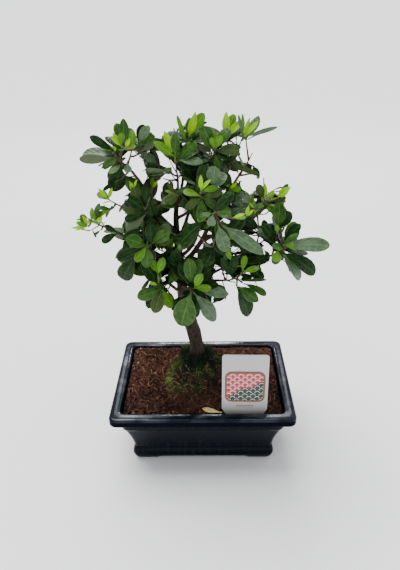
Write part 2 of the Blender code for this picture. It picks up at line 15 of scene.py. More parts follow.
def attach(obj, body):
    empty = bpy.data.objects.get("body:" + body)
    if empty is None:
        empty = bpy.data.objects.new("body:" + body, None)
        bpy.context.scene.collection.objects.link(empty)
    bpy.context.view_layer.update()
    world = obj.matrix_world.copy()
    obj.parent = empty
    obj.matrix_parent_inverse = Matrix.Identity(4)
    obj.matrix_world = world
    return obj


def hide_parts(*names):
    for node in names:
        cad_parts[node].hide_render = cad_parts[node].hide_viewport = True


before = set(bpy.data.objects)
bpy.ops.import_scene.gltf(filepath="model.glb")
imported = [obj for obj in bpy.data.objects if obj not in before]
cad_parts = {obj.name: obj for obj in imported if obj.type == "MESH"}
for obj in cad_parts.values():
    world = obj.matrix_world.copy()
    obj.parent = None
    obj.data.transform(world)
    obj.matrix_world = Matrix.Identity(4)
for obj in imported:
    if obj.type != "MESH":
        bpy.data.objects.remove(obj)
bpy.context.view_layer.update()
mm = 0.001
print("solids loaded:", len(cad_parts))


# Helpers for materials

def newMaterial(name, color, roughness, **sockets):
    material = bpy.data.materials.new(name)
    material.use_nodes = True
    inputs = material.node_tree.nodes["Principled BSDF"].inputs
    inputs["Base Color"].default_value = (*color, 1.0)
    inputs["Roughness"].default_value = roughness
    for socket, value in sockets.items():
        inputs[socket.replace("_", " ")].default_value = value
    return material


def addNode(material, kind, values=None, **settings):
    node = material.node_tree.nodes.new(kind)
    for key, value in settings.items():
        setattr(node, key, value)
    for key, value in (values or {}).items():
        if isinstance(value, bpy.types.NodeSocket):
            material.node_tree.links.new(value, node.inputs[key])
        else:
            node.inputs[key].default_value = value
    return node.outputs


def objectPattern(material, scale, stretch=(1, 1, 1), detail=4.0, distortion=0.0):  # scale in cells a metre
    coords = addNode(material, "ShaderNodeTexCoord")["Object"]
    place = addNode(material, "ShaderNodeMapping", {"Vector": coords, "Scale": stretch})[0]
    values = {"Vector": place, "Scale": scale, "Detail": detail, "Distortion": distortion}
    return addNode(material, "ShaderNodeTexNoise", values)["Fac"]


def objectAxis(material, axis):
    coords = addNode(material, "ShaderNodeTexCoord")["Object"]
    return addNode(material, "ShaderNodeSeparateXYZ", {0: coords})[axis]


def steer(material, value, low, high, toLow=0.0, toHigh=1.0):
    values = {"Value": value, "From Min": low, "From Max": high, "To Min": toLow, "To Max": toHigh}
    return addNode(material, "ShaderNodeMapRange", values)[0]


def reckon(material, operation, *values):
    return addNode(material, "ShaderNodeMath", dict(enumerate(values)), operation=operation)[0]


def mixColor(material, share, first, second):
    values = {0: share}
    for index, color in ((6, first), (7, second)):
        values[index] = color if isinstance(color, bpy.types.NodeSocket) else (*color, 1.0)
    return addNode(material, "ShaderNodeMix", values, data_type="RGBA")[2]


def feed(material, socket, output):
    material.node_tree.links.new(output, material.node_tree.nodes["Principled BSDF"].inputs[socket])


def addBump(material, height, depth, strength=1.0):
    values = {"Height": height, "Distance": depth * mm, "Strength": strength}
    feed(material, "Normal", addNode(material, "ShaderNodeBump", values)[0])


def mottle(material, color, scale, gain):  # breaks a plain color up with a paler one
    paler = tuple(min(c * gain, 1.0) for c in color)
    feed(material, "Base Color", mixColor(material, objectPattern(material, scale), color, paler))
    return material


# Helpers for pieces

quarterSigns = ((1, 1), (-1, 1), (-1, -1), (1, -1))  # counter-clockwise


def addObject(name, data):
    thing = bpy.data.objects.new(name, data)
    bpy.context.scene.collection.objects.link(thing)
    return thing


def finishPiece(name, mesh, materials, nodes=(), sharp=50.0):  # sharp in degrees
    for material in materials:
        mesh.materials.append(material)
    mesh.shade_smooth()
    mesh.set_sharp_from_angle(angle=math.radians(sharp))
    mesh.name = name
    piece = addObject(name, mesh)
    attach(piece, "root")
    if nodes:
        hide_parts(*nodes)


def meshFrom(bm):
    mesh = bpy.data.meshes.new("mesh")
    bm.to_mesh(mesh)
    bm.free()
    return mesh


def openEdges(bm):
    return [edge for edge in bm.edges if edge.is_boundary]


def newVerts(made):
    return [part for part in made["geom"] if isinstance(part, bmesh.types.BMVert)]


def faceOutwards(bm):
    bmesh.ops.recalc_face_normals(bm, faces=bm.faces)


def closeUp(bm):
    bmesh.ops.holes_fill(bm, edges=openEdges(bm), sides=0)
    faceOutwards(bm)


def rolledSheet(around, along, place):  # a grid of quads rolled into a tube with closed ends
    bm = bmesh.new()
    bmesh.ops.create_grid(bm, x_segments=around, y_segments=along, size=0.5)
    for vert in bm.verts:
        vert.co = Vector(place((vert.co.x + 0.5) % 1.0, vert.co.y + 0.5)) * mm
    bmesh.ops.remove_doubles(bm, verts=bm.verts, dist=1e-6)
    closeUp(bm)
    return bm


def strandMesh(strands, resolution=0):  # round strands from (places, radii), joined in one mesh
    curve = bpy.data.curves.new("strands", "CURVE")
    curve.dimensions = "3D"
    curve.bevel_depth = mm
    curve.bevel_resolution = resolution
    curve.use_fill_caps = True
    for places, radii in strands:
        spline = curve.splines.new("POLY")
        spline.points.add(len(places) - 1)
        spline.points.foreach_set("co", [c for p in places for c in (*(Vector(p) * mm), 1.0)])
        spline.points.foreach_set("radius", radii)
    guide = addObject("strands", curve)
    bpy.context.view_layer.update()
    mesh = bpy.data.meshes.new_from_object(guide.evaluated_get(bpy.context.evaluated_depsgraph_get()))
    bpy.data.objects.remove(guide)
    bpy.data.curves.remove(curve)
    return mesh


def tapered(thick, loss, cells):  # radii along a strand that loses that share of its thickness
    return [thick * (1 - loss * i / cells) for i in range(cells + 1)]


def astray(rng, most):
    return rng.uniform(-most, most)


def meshArrays(bm):  # corner places and faces of a small shape that is repeated
    bm.verts.index_update()
    points = np.array([v.co[:] for v in bm.verts])
    faces = [[v.index for v in face.verts] for face in bm.faces]
    bm.free()
    return points, faces


def meshOfCopies(copies, faces, marks):  # one mesh of many copies, given as arrays of corner places
    count = len(copies[0])
    joined = [[i + count * k for i in face] for k in range(len(copies)) for face in faces]
    mesh = bpy.data.meshes.new("copies")
    mesh.from_pydata(np.concatenate(copies).tolist(), [], joined)
    mesh.polygons.foreach_set("material_index", np.array(marks, dtype=np.int32).ravel())
    return mesh


# Camera, floor and light

view = {
    "place": (5.8, -491.4, 455.6),
    "pitch": 27.72, "yaw": 0.86, "roll": -0.85,
    "photoWide": 400, "photoTall": 570, "focalPixels": 519.9,
    "sensor": 36.0,
}


def cameraMatrix():
    pitch, yaw = math.radians(view["pitch"]), math.radians(view["yaw"])
    right = Vector((math.cos(yaw), math.sin(yaw), 0))
    level = Vector((-math.sin(yaw), math.cos(yaw), 0))
    ahead = level * math.cos(pitch) - Vector((0, 0, math.sin(pitch)))
    up = level * math.sin(pitch) + Vector((0, 0, math.cos(pitch)))
    turned = Matrix((right, up, -ahead)).transposed().to_4x4()
    roll = Matrix.Rotation(math.radians(view["roll"]), 4, "Z")
    return Matrix.Translation(Vector(view["place"]) * mm) @ turned @ roll


cameraTurn = np.array(cameraMatrix().to_3x3())
cameraPlace = np.array(view["place"])


def photoPlace(px, py, level, axis=1):  # where the sight line through a point of the photo meets a plane
    across = (px - view["photoWide"] / 2) / view["focalPixels"]
    up = (view["photoTall"] / 2 - py) / view["focalPixels"]
    way = Vector(cameraTurn @ np.array((across, up, -1.0))).normalized()
    return Vector(view["place"]) + way * ((level - view["place"][axis]) / way[axis])


def onPhoto(points):  # photo places of points, and how far ahead of the camera they are
    local = (points - cameraPlace) @ cameraTurn
    scale = view["focalPixels"] / -local[:, 2]
    across = local[:, 0] * scale + view["photoWide"] / 2
    return across, view["photoTall"] / 2 - local[:, 1] * scale, -local[:, 2]


def makeCamera():
    lens = bpy.data.cameras.new("camera")
    lens.sensor_fit = "VERTICAL"
    lens.sensor_width = lens.sensor_height = view["sensor"]
    lens.lens = view["focalPixels"] / view["photoTall"] * view["sensor"]
    camera = addObject("camera", lens)
    camera.matrix_world = cameraMatrix()
    bpy.context.scene.camera = camera


studio = {
    "floorHalf": 60000.0, "floorCells": 60, "flatReach": 5000.0, "farRise": 0.06,  # it rises gently far away
    "floorColor": (0.90, 0.90, 0.90), "worldColor": (0.95, 0.97, 1.0), "worldStrength": 1.0,
    "sunWay": (0.25, -0.30, -1.0), "sunStrength": 4.4, "sunWidth": 45.0,
    "cards": {  # place, aimed at, width, depth, watts, color
        "backRimCard": ((-25, 1500, 1044), (0, 70, 76), 330, 95, 5.0, (0.97, 0.98, 1.0)),
        "leftRimCard": ((-403, 1500, 1290), (-95, 0, 76), 170, 330, 1.3, (0.90, 0.95, 1.0)),
        "rightRimCard": ((372, 1500, 1290), (95, 0, 76), 150, 330, 1.2, (0.90, 0.95, 1.0)),
        "frontRimCard": ((60, 1500, 1500), (0, -70, 76), 820, 34, 0.55, (0.92, 0.96, 1.0)),
    },
}


def addLamp(name, kind, way, energy, **settings):
    lamp = bpy.data.lights.new(name, kind)
    lamp.energy = energy
    for key, value in settings.items():
        setattr(lamp, key, value)
    thing = addObject(name, lamp)
    thing.rotation_euler = Vector(way).to_track_quat("-Z", "Y").to_euler()
    return thing


def makeStudio():
    bm = bmesh.new()
    cells = studio["floorCells"]
    bmesh.ops.create_grid(bm, x_segments=cells, y_segments=cells, size=studio["floorHalf"] * mm)
    for vert in bm.verts:
        vert.co.z = max(0.0, vert.co.length - studio["flatReach"] * mm) * studio["farRise"]
    floor = addObject("floor", meshFrom(bm))
    floor.data.materials.append(newMaterial("paleFloor", studio["floorColor"], 0.9))
    world = bpy.context.scene.world or bpy.data.worlds.new("studio")
    bpy.context.scene.world = world
    world.use_nodes = True
    backdrop = world.node_tree.nodes["Background"].inputs
    backdrop["Color"].default_value = (*studio["worldColor"], 1.0)
    backdrop["Strength"].default_value = studio["worldStrength"]
    addLamp("softSun", "SUN", studio["sunWay"], studio["sunStrength"], angle=math.radians(studio["sunWidth"]))
    for name, (place, aim, wide, deep, watts, color) in studio["cards"].items():
        card = addLamp(name, "AREA", Vector(aim) - Vector(place), watts, shape="RECTANGLE",
                       size=wide * mm, size_y=deep * mm, color=color)
        card.location = Vector(place) * mm


makeCamera()
makeStudio()
print("camera, floor and lights ready")


# Pot

pot = {
    "length": 200.0, "depth": 150.0, "height": 76.0,
    "corner": 8.0, "cornerLeast": 3.5, "cornerShrink": 0.12,  # the last is a share of the inset
    "wall": 6.0, "floorLow": 4.0, "floorTop": 10.0, "floorEdge": 3.5,
    "rimTall": 10.0, "rimWide": 11.5, "rimRound": 2.6, "rimUnder": 1.6, "lipSlope": 1.6, "lipTall": 6.0,
    "neckInset": 11.2, "neckLow": 52.0, "ledge": 1.3, "soften": 0.3,
    "underFillet": ((0.0, 1.4), (0.5, 0.3), (2.0, 0.0)),  # out from the neck, down from the rim
    "coveLow": 19.0, "coveInset": 21.5, "covePower": 1.35, "coveSteps": 16,
    "bandLow": 3.0, "bandTall": 13.0, "bandInset": 21.2, "bandBulge": 1.5, "bandSteps": 11,
    "notchHeight": 17.5, "notchDeep": 0.6,
    "footInset": 22.5, "footWide": 9.0, "footEdge": 1.5,
    "archTall": 3.0, "archEnd": 34.0, "archSlope": 10.0, "archFade": 5.0,
    "drainRadius": 6.0, "drainApart": 70.0, "drainSides": 24,
    "cornerCells": 7, "sideCells": 22,
    # the paler blue for the rim's top is a painted reflection of the bright surroundings, not thinner glaze
    "glaze": (0.0012, 0.0024, 0.0065), "glazeRimSheen": (0.0060, 0.0120, 0.0280),
    "glazeGreen": (0.0055, 0.0100, 0.0090),
    "rimSheenFrom": (72.8, 75.2), "shineFrom": (72.5, 75.2), "greenFrom": (64.0, 50.0),  # heights
    "dullTo": (60.0, 66.5),
}


def arc(centre, radius, startAngle, endAngle, steps):
    angles = np.radians(np.linspace(startAngle, endAngle, steps))
    return [(centre[0] + radius * math.cos(a), centre[1] + radius * math.sin(a)) for a in angles]


def potOuterLine():  # inset and height, from the foot up to the rim's top
    foot, neck, soft = pot["footInset"] + pot["footEdge"], pot["neckInset"], pot["soften"]
    line = [(foot, 0.0)] + arc((foot, pot["footEdge"]), pot["footEdge"], 240, 180, 3)
    for share in np.linspace(0, 1, pot["bandSteps"]):
        bulge = pot["bandBulge"] * math.sin(math.pi * share)
        line.append((pot["bandInset"] - bulge, pot["bandLow"] + pot["bandTall"] * share))
    line.append((pot["coveInset"] + pot["notchDeep"], pot["notchHeight"]))
    high = pot["neckLow"] - pot["ledge"]
    for share in np.linspace(0, 1, pot["coveSteps"]):
        inset = pot["coveInset"] - (pot["coveInset"] - neck - pot["ledge"]) * share ** pot["covePower"]
        line.append((inset, pot["coveLow"] + (high - pot["coveLow"]) * share))
    under = pot["height"] - pot["rimTall"]
    line += [(neck + soft, pot["neckLow"] - soft), (neck, pot["neckLow"] + 2 * soft)]
    line.append((neck, (pot["neckLow"] + under) / 2))
    line += [(neck - out, under - down) for out, down in pot["underFillet"]]
    line += arc((pot["rimUnder"], under + pot["rimUnder"]), pot["rimUnder"], 270, 180, 5)
    line.append((0.0, under + pot["rimTall"] / 2))
    return line + arc((pot["rimRound"], pot["height"] - pot["rimRound"]), pot["rimRound"], 180, 90, 7)


def potInnerLine():  # from the rim's top down to the inside floor
    neck, cove = pot["neckInset"] + pot["wall"], pot["coveInset"] + pot["wall"]
    rimEdge = (pot["rimWide"] - pot["rimRound"], pot["height"] - pot["rimRound"])
    return arc(rimEdge, pot["rimRound"], 90, 10, 6) + [
        (pot["rimWide"] + pot["lipSlope"], pot["height"] - pot["lipTall"]),
        (neck - pot["lipSlope"], pot["height"] - pot["rimTall"]), (neck, pot["neckLow"]),
        ((neck + cove) / 2 + pot["ledge"], (pot["neckLow"] + pot["coveLow"]) / 2),
        (cove, pot["coveLow"]), (cove + pot["floorEdge"], pot["floorTop"]),
    ]


def ringPlace(share, inset):  # a point on the rounded rectangle, counter-clockwise from above
    corner = max(pot["corner"] - inset * pot["cornerShrink"], pot["cornerLeast"])
    halfX, halfY = pot["length"] / 2 - inset - corner, pot["depth"] / 2 - inset - corner
    cells = pot["cornerCells"] + pot["sideCells"]
    step = share * 4 * cells
    quarter = int(step // cells) % 4
    within = step - cells * (step // cells)
    angle = math.pi / 2 * (quarter + min(within / pot["cornerCells"], 1.0))
    here, there = (
        Vector((sx * halfX + corner * math.cos(angle), sy * halfY + corner * math.sin(angle)))
        for sx, sy in (quarterSigns[quarter], quarterSigns[(quarter + 1) % 4])
    )
    if within <= pot["cornerCells"]:
        return here
    return here.lerp(there, (within - pot["cornerCells"]) / pot["sideCells"])


def archLift(spot):  # how far the foot's lower edge is raised between the corner feet
    onLongSide = pot["depth"] / 2 - abs(spot.y) <= pot["length"] / 2 - abs(spot.x) + 1e-6
    reach = (pot["length"] if onLongSide else pot["depth"]) / 2 - pot["footInset"] - pot["archEnd"]
    past = (reach + pot["archSlope"] - abs(spot.x if onLongSide else spot.y)) / pot["archSlope"]
    past = min(max(past, 0.0), 1.0)
    return pot["archTall"] * past * past * (3 - 2 * past)


def potGlaze():  # paler along the rim's top as a painted reflection, shinier along the rim, greener down the cove
    glaze = newMaterial("potGlaze", pot["glaze"], 0.12, IOR=1.52)
    height = objectAxis(glaze, "Z")

    def risen(levels, toLow=0.0, toHigh=1.0):
        return steer(glaze, height, levels[0] * mm, levels[1] * mm, toLow, toHigh)

    streaks = objectPattern(glaze, 260.0, (1.0, 1.0, 0.09), 5.0, 0.6)
    speckle = objectPattern(glaze, 900.0, detail=6.0)
    sheenPatches = steer(glaze, objectPattern(glaze, 26.0, detail=2.0), 0.44, 0.58)
    blotch = objectPattern(glaze, 70.0, detail=3.0)
    # thin marks where the rim's top is painted paler: a painted reflection, broken up by speckle and patches
    thin = reckon(glaze, "MULTIPLY", risen(pot["rimSheenFrom"]), steer(glaze, speckle, 0.38, 0.66, 0.1, 1.0))
    thin = reckon(glaze, "MULTIPLY", thin, steer(glaze, sheenPatches, 0.0, 1.0, 0.25, 1.0))
    green = reckon(glaze, "MULTIPLY", risen(pot["greenFrom"]), steer(glaze, streaks, 0.48, 0.72))
    color = mixColor(glaze, green, pot["glaze"], pot["glazeGreen"])
    feed(glaze, "Base Color", mixColor(glaze, thin, color, pot["glazeRimSheen"]))
    shine = reckon(glaze, "MULTIPLY", risen(pot["shineFrom"]), steer(glaze, sheenPatches, 0.0, 1.0, 0.12, 0.46))
    feed(glaze, "Specular IOR Level", reckon(glaze, "ADD", shine, risen(pot["dullTo"], 0.070, 0.015)))
    feed(glaze, "Roughness", steer(glaze, blotch, 0.35, 0.7, 0.06, 0.15))
    addBump(glaze, streaks, 0.25, 0.3)
    return glaze


def drainFloor(bm):  # cuts the drain holes in the floor's two flat faces and gives them walls
    rings = []
    for flat in [face for face in bm.faces if len(face.verts) > 4]:
        edges = list(flat.edges)
        height = flat.verts[0].co.z
        bmesh.ops.delete(bm, geom=[flat], context="FACES_ONLY")
        for side in (-1, 1):
            place = Matrix.Translation((side * pot["drainApart"] / 2 * mm, 0, height))
            made = bmesh.ops.create_circle(bm, segments=pot["drainSides"], radius=pot["drainRadius"] * mm,
                                           matrix=place)["verts"]
            rings.append(list({edge for vert in made for edge in vert.link_edges}))
            edges += rings[-1]
        bmesh.ops.triangle_fill(bm, edges=edges, use_beauty=True)
    for low, high in zip(rings[:2], rings[2:]):
        bmesh.ops.bridge_loops(bm, edges=low + high)
    faceOutwards(bm)


def makePot():
    hollow = pot["footInset"] + pot["footWide"]
    line = [(hollow + pot["footEdge"], pot["floorLow"]), (hollow, 0.0)] + potOuterLine() + potInnerLine()
    steps = len(line) - 1

    def place(around, along):
        inset, height = line[round(along * steps)]
        spot = ringPlace(around, inset)
        if height < pot["archFade"] and inset <= hollow + 0.01:
            height += archLift(spot) * (1.0 - height / pot["archFade"])
        return spot.x, spot.y, height

    bm = rolledSheet(4 * (pot["cornerCells"] + pot["sideCells"]), steps, place)
    drainFloor(bm)
    finishPiece("glazedPot", meshFrom(bm), [potGlaze()], ["pot"], 40.0)


makePot()
print("pot made")


# Soil: a rough closed bed, crumbs and fibres on it, clear of the label that stands in it

label = {
    "wide": 48.5, "tall": 78.0, "thick": 0.8, "sunk": 4.0, "place": (45.0, -58.0), "soilTop": 71.5,
    "lean": 2.2, "turn": -1.5,
    "round": 3.5, "chamferWide": 5.5, "chamferTall": 9.5, "edge": 0.12, "ink": 0.03,
    "card": (0.53, 0.515, 0.51), "brown": (0.15, 0.060, 0.030), "pink": (0.56, 0.115, 0.115),
    "rose": (0.36, 0.030, 0.045), "leaf": (0.012, 0.034, 0.024), "cream": (0.66, 0.62, 0.58),
    "window": (21.0, 19.0, 7.0), "windowHeight": 38.5, "frameWide": 1.9,  # half width, half height, corner
    "scallop": 4.3, "scallopStep": 3.4, "scallopRows": 12, "scallopSides": 24, "firstRow": 3.0,
    "darkSlope": 0.6, "darkFrom": 4.0,  # the slanting line below which the scallops are dark
    "rings": (("pink", 1.0), ("cream", 0.74), ("rose", 0.56)),
    "darkRings": (("leaf", 1.0), ("cream", 0.66), ("leaf", 0.52)),
    "scallopInset": 0.6, "fieldInset": 0.4,  # shares of the frame's width
    "rowLayer": 2, "ringLayer": 0.6, "overlap": 0.02,  # how the films of ink lie on one another
    "ruleHalf": 9.0, "rules": ((13.8, 0.9), (11.8, 0.45)),  # height and thickness
}

soil = {
    "top": 71.0, "inset": 13.5, "corner": 6.0, "bedDeep": 22.0, "bedShrink": (0.93, 0.92),
    "cellsLong": 210, "cellsDeep": 150,
    "lumps": ((0.06, 3.2), (0.22, 1.92), (0.55, 2.6)), "noiseSlice": 3.7,  # cells in a mm, and height
    "backFrom": 20.0, "backLong": 35.0, "backRise": 3.0,
    "crumbs": 6200, "crumbSize": (0.7, 2.7), "crumbShrink": (0.5, 1.0), "crumbJitter": (0.75, 1.25),
    "crumbStretch": ((0.6, 1.5), (0.5, 1.0), (0.4, 0.8)), "crumbTilt": 0.5, "crumbSeat": 0.15,
    "crumbMix": (0, 0, 0, 1, 1, 1, 1, 1, 2),  # how often a crumb is dark, red or tan
    "fibres": 3000, "fibreLong": (7.0, 26.0), "fibreThick": (0.24, 0.60), "fibreLift": (0.3, 3.6),
    "fibreBend": 2.8, "fibreWander": (0.2, 1.4), "fibreCells": 6, "fibreEdge": 4.0, "fibreSeat": 1.2,
    "fibreTaper": 0.6, "fibreMix": ("fibresTan", "fibresBrown", "fibresBrown", "fibresBrown"),
    "bayHalf": 27.0, "bayDeep": 5.0, "bayCalm": 0.3, "bayLow": 1.2,  # the bare strip before the label
    "dark": (0.0060, 0.0027, 0.0023), "red": (0.120, 0.047, 0.030), "tan": (0.300, 0.150, 0.088),
    "frontShade": (-60.0, -5.0, 0.55),  # painted shade towards the front: from where to where in y it fades, and how dark it is at the front
}


def roundedSpot(a, b, halfX, halfY, corner):  # a, b from -1 to 1
    x, y = a * halfX, b * halfY
    overX, overY = abs(x) - (halfX - corner), abs(y) - (halfY - corner)
    if overX > 0 and overY > 0:
        pull = max(overX, overY) / math.hypot(overX, overY)
        x = math.copysign(halfX - corner + overX * pull, x)
        y = math.copysign(halfY - corner + overY * pull, y)
    return x, y


def beforeLabel(x, y):
    return abs(x - label["place"][0]) < soil["bayHalf"] and y < label["place"][1] + soil["bayDeep"]


def soilHeight(x, y):
    spot = Vector((x, y, soil["noiseSlice"]))
    lumps = sum(noise.noise(spot * scale) * height for scale, height in soil["lumps"])
    if beforeLabel(x, y):
        lumps = lumps * soil["bayCalm"] - soil["bayLow"]
    atBack = min(max((y - soil["backFrom"]) / soil["backLong"], 0.0), 1.0)
    return soil["top"] + atBack * soil["backRise"] + lumps * (1.0 - 0.5 * atBack)


def earth(name, first, second, patch):
    material = newMaterial(name, first, 0.95, Specular_IOR_Level=0.2)
    wide = steer(material, objectPattern(material, 34.0, detail=3.0), 0.40, 0.62, 0.3, 1.0)
    grains = steer(material, objectPattern(material, patch, detail=6.0), 0.40, 0.58)
    color = mixColor(material, reckon(material, "MULTIPLY", grains, wide), first, second)
    # painted shade: the soil's colour is darkened towards the front
    front, back, dark = soil["frontShade"]
    frontShade = steer(material, objectAxis(material, "Y"), front * mm, back * mm, dark, 0.0)
    feed(material, "Base Color", mixColor(material, frontShade, color, soil["dark"]))
    addBump(material, objectPattern(material, 2600.0, detail=6.0), 0.5, 0.8)
    return material


def makeSoil(halfX, halfY):
    bm = bmesh.new()
    bmesh.ops.create_grid(bm, x_segments=soil["cellsLong"], y_segments=soil["cellsDeep"], size=1)
    for vert in bm.verts:
        x, y = roundedSpot(vert.co.x, vert.co.y, halfX, halfY, soil["corner"])
        vert.co = Vector((x, y, soilHeight(x, y))) * mm
    shrinkX, shrinkY = soil["bedShrink"]
    for vert in newVerts(bmesh.ops.extrude_edge_only(bm, edges=openEdges(bm))):
        vert.co.x, vert.co.y = vert.co.x * shrinkX, vert.co.y * shrinkY
        vert.co.z = (soil["top"] - soil["bedDeep"]) * mm
    closeUp(bm)
    bed = earth("soilBed", soil["dark"], soil["red"], 420.0)
    finishPiece("soilBed", meshFrom(bm), [bed], ["soil"])


def makeCrumbs(halfX, halfY):
    rng = random.Random("crumbs")
    bm = bmesh.new()
    bmesh.ops.create_icosphere(bm, subdivisions=1, radius=1.0)
    points, faces = meshArrays(bm)
    copies, marks = [], []
    for _ in range(soil["crumbs"]):
        size = rng.uniform(*soil["crumbSize"]) * rng.uniform(*soil["crumbShrink"])
        x, y = roundedSpot(rng.uniform(-1, 1), rng.uniform(-1, 1), halfX - size, halfY - size, soil["corner"])
        scale = np.array([rng.uniform(*ends) for ends in soil["crumbStretch"]]) * size
        jitter = np.array([[rng.uniform(*soil["crumbJitter"])] for _ in points])
        spin = Matrix.Rotation(rng.uniform(0, math.tau), 3, "Z")
        turn = np.array(spin @ Matrix.Rotation(astray(rng, soil["crumbTilt"]), 3, "X"))
        if beforeLabel(x, y):
            continue
        rest = np.array([x, y, soilHeight(x, y) + size * soil["crumbSeat"]])
        copies.append(((points * jitter * scale) @ turn.T + rest) * mm)
        marks.append([rng.choice(soil["crumbMix"])] * len(faces))
    kinds = (
        ("crumbDark", "dark", "red", 700.0), ("crumbRed", "red", "dark", 700.0),
        ("crumbTan", "tan", "red", 500.0),
    )
    tones = [earth(name, soil[first], soil[second], patch) for name, first, second, patch in kinds]
    finishPiece("soilCrumbs", meshOfCopies(copies, faces, marks), tones, (), 35.0)


def lyingStrand(rng, x, y, heading, length, thick, bend, lift):  # a fibre that follows the ground
    places, radii = [], []
    cells = soil["fibreCells"]
    for i in range(cells + 1):
        height = soilHeight(x, y) + thick * soil["fibreSeat"] + lift * math.sin(math.pi * i / cells)
        places.append((x, y, height))
        radii.append(thick * (1.0 - soil["fibreTaper"] * abs(2.0 * i / cells - 1.0)))
        heading += bend * rng.uniform(*soil["fibreWander"]) / cells
        x += math.cos(heading) * length / cells
        y += math.sin(heading) * length / cells
    return places, radii


def makeFibres(halfX, halfY):
    rng = random.Random("fibres")
    kinds = {"fibresTan": [], "fibresBrown": []}
    edge = soil["fibreEdge"]
    for _ in range(soil["fibres"]):
        length = rng.uniform(*soil["fibreLong"])
        x = rng.uniform(-halfX + edge, halfX - edge)
        y = rng.uniform(-halfY + edge, halfY - edge)
        heading = rng.uniform(0, math.tau)
        thick = rng.uniform(*soil["fibreThick"])
        bend = astray(rng, soil["fibreBend"])
        strand = lyingStrand(rng, x, y, heading, length, thick, bend, rng.uniform(*soil["fibreLift"]))
        if all(abs(x) < halfX - 1 and abs(y) < halfY - 1 and not beforeLabel(x, y) for x, y, _ in strand[0]):
            kinds[rng.choice(soil["fibreMix"])].append(strand)
    for name, tone in (("fibresTan", "tan"), ("fibresBrown", "red")):
        material = earth(name, soil[tone], soil["dark"], 300.0)
        finishPiece(name, strandMesh(kinds[name]), [material])


bedHalf = (pot["length"] / 2 - soil["inset"], pot["depth"] / 2 - soil["inset"])
makeSoil(*bedHalf)
makeCrumbs(*bedHalf)
makeFibres(*bedHalf)
print("soil made")


# Moss mound round the trunk's foot

mound = {  # turns and climbs are shares of the way round it and up it
    "centre": (-9.0, 2.0), "half": (37.0, 41.0), "topCentre": (-7.0, 24.0), "topRadius": 14.0,
    "low": 70.5, "high": 89.7, "lump": 0.07, "lumps": 3, "lumpTurn": 1.0,
    "rough": ((0.12, 4.4), (0.45, 2.0)),  # cells in a mm, and height
    "aroundCells": 120, "upCells": 44,
    "sprigs": 7000, "sprigLong": (1.8, 5.6), "sprigThick": 0.55, "thickSpread": (0.6, 1.1),
    "sprigLean": 0.9, "sprigCurl": 0.4, "sprigKnee": 0.55, "sprigUp": 0.8,
    "footFrom": 0.86, "footLong": 7.0,  # longer sprigs where the trunk comes up
    "patch": 0.07, "patchStray": 0.35, "greenFrom": 0.02, "brightFrom": 0.46, "brightSide": 0.30,
    "bare": 0.09, "bareShift": (40, 0, 0), "bareRise": 0.55, "bareFrom": -0.04,  # brown, most low down
    "litter": 1500, "litterUp": 0.62, "litterTurn": 0.05, "litterClimb": 0.16, "litterArch": (0.3, 2.2),
    "litterLift": 0.3, "litterMost": 0.9, "litterPack": 1.6, "litterTaper": 0.5, "litterCells": 5,
    "roots": 120, "rootUp": (0.1, 0.95), "rootTurn": 0.09, "rootClimb": (-0.5, 0.25), "rootSway": 0.01,
    "rootLong": (6.0, 18.0), "rootThick": (0.20, 0.46), "rootArch": (0.8, 5.0), "rootLift": 0.6,
    "rootTaper": 0.6, "rootCells": 6,
    "tuft": (0.582, 0.24), "tuftWide": (0.026, 0.07), "tuftSprigs": 60, "tuftLong": (3.5, 9.5),
    "tuftThick": 0.42, "tuftUp": (0.05, 0.7), "tuftTurn": (-0.03, 0.01), "tuftFall": 0.05,
    "tuftLift": (0.2, 1.0), "tuftBow": 0.8, "tuftStray": 0.5, "tuftDroop": (-0.6, 0.1),
    "under": (0.0095, 0.0060, 0.0045), "deep": (0.0120, 0.0400, 0.0210), "green": (0.050, 0.092, 0.021),
    "bright": (0.18, 0.23, 0.045), "root": (0.34, 0.250, 0.130), "pale": (0.24, 0.28, 0.085),
}


def moundPlace(around, up, extra=0.0):  # up runs from 0 at the soil to 1 at the trunk
    angle = math.tau * around
    lump = 1.0 + mound["lump"] * math.sin(mound["lumps"] * angle + mound["lumpTurn"])
    (cx, cy), (hx, hy), (tx, ty) = mound["centre"], mound["half"], mound["topCentre"]
    x = (cx + hx * lump * math.cos(angle)) * (1 - up) + (tx + mound["topRadius"] * math.cos(angle)) * up
    y = (cy + hy * lump * math.sin(angle)) * (1 - up) + (ty + mound["topRadius"] * math.sin(angle)) * up
    z = mound["low"] + (mound["high"] - mound["low"]) * math.sin(math.pi / 2 * up)
    (wide, tall), (fine, low) = mound["rough"]
    rough = noise.noise(Vector((x, y, z)) * wide) * tall + noise.noise(Vector((x, y, z)) * fine) * low
    return Vector((x, y, z + extra + rough * min(1.0, 4 * up + 0.2) * (1 - 0.6 * up)))


def moundNormal(around, up):
    here = moundPlace(around, up)
    way = (moundPlace(around + 0.01, up) - here).cross(moundPlace(around, min(up + 0.02, 1.02)) - here)
    return way.normalized()


def moundLine(around, up, turn, climb, most, lift, arch, cells, sway=0.0):  # places that follow the mound
    places = []
    for i in range(cells + 1):
        share = i / cells
        spot = min(max(up + climb * share, 0.0), most)
        here = around + turn * share + sway * math.sin(9 * share)
        places.append(moundPlace(here, spot, lift + arch * math.sin(math.pi * share)))
    return places


def mossy(name, first, second, patch, roughness=0.95):
    material = newMaterial(name, first, roughness, Specular_IOR_Level=0.25)
    share = steer(material, objectPattern(material, patch, detail=5.0), 0.38, 0.62)
    feed(material, "Base Color", mixColor(material, share, first, second))
    return material


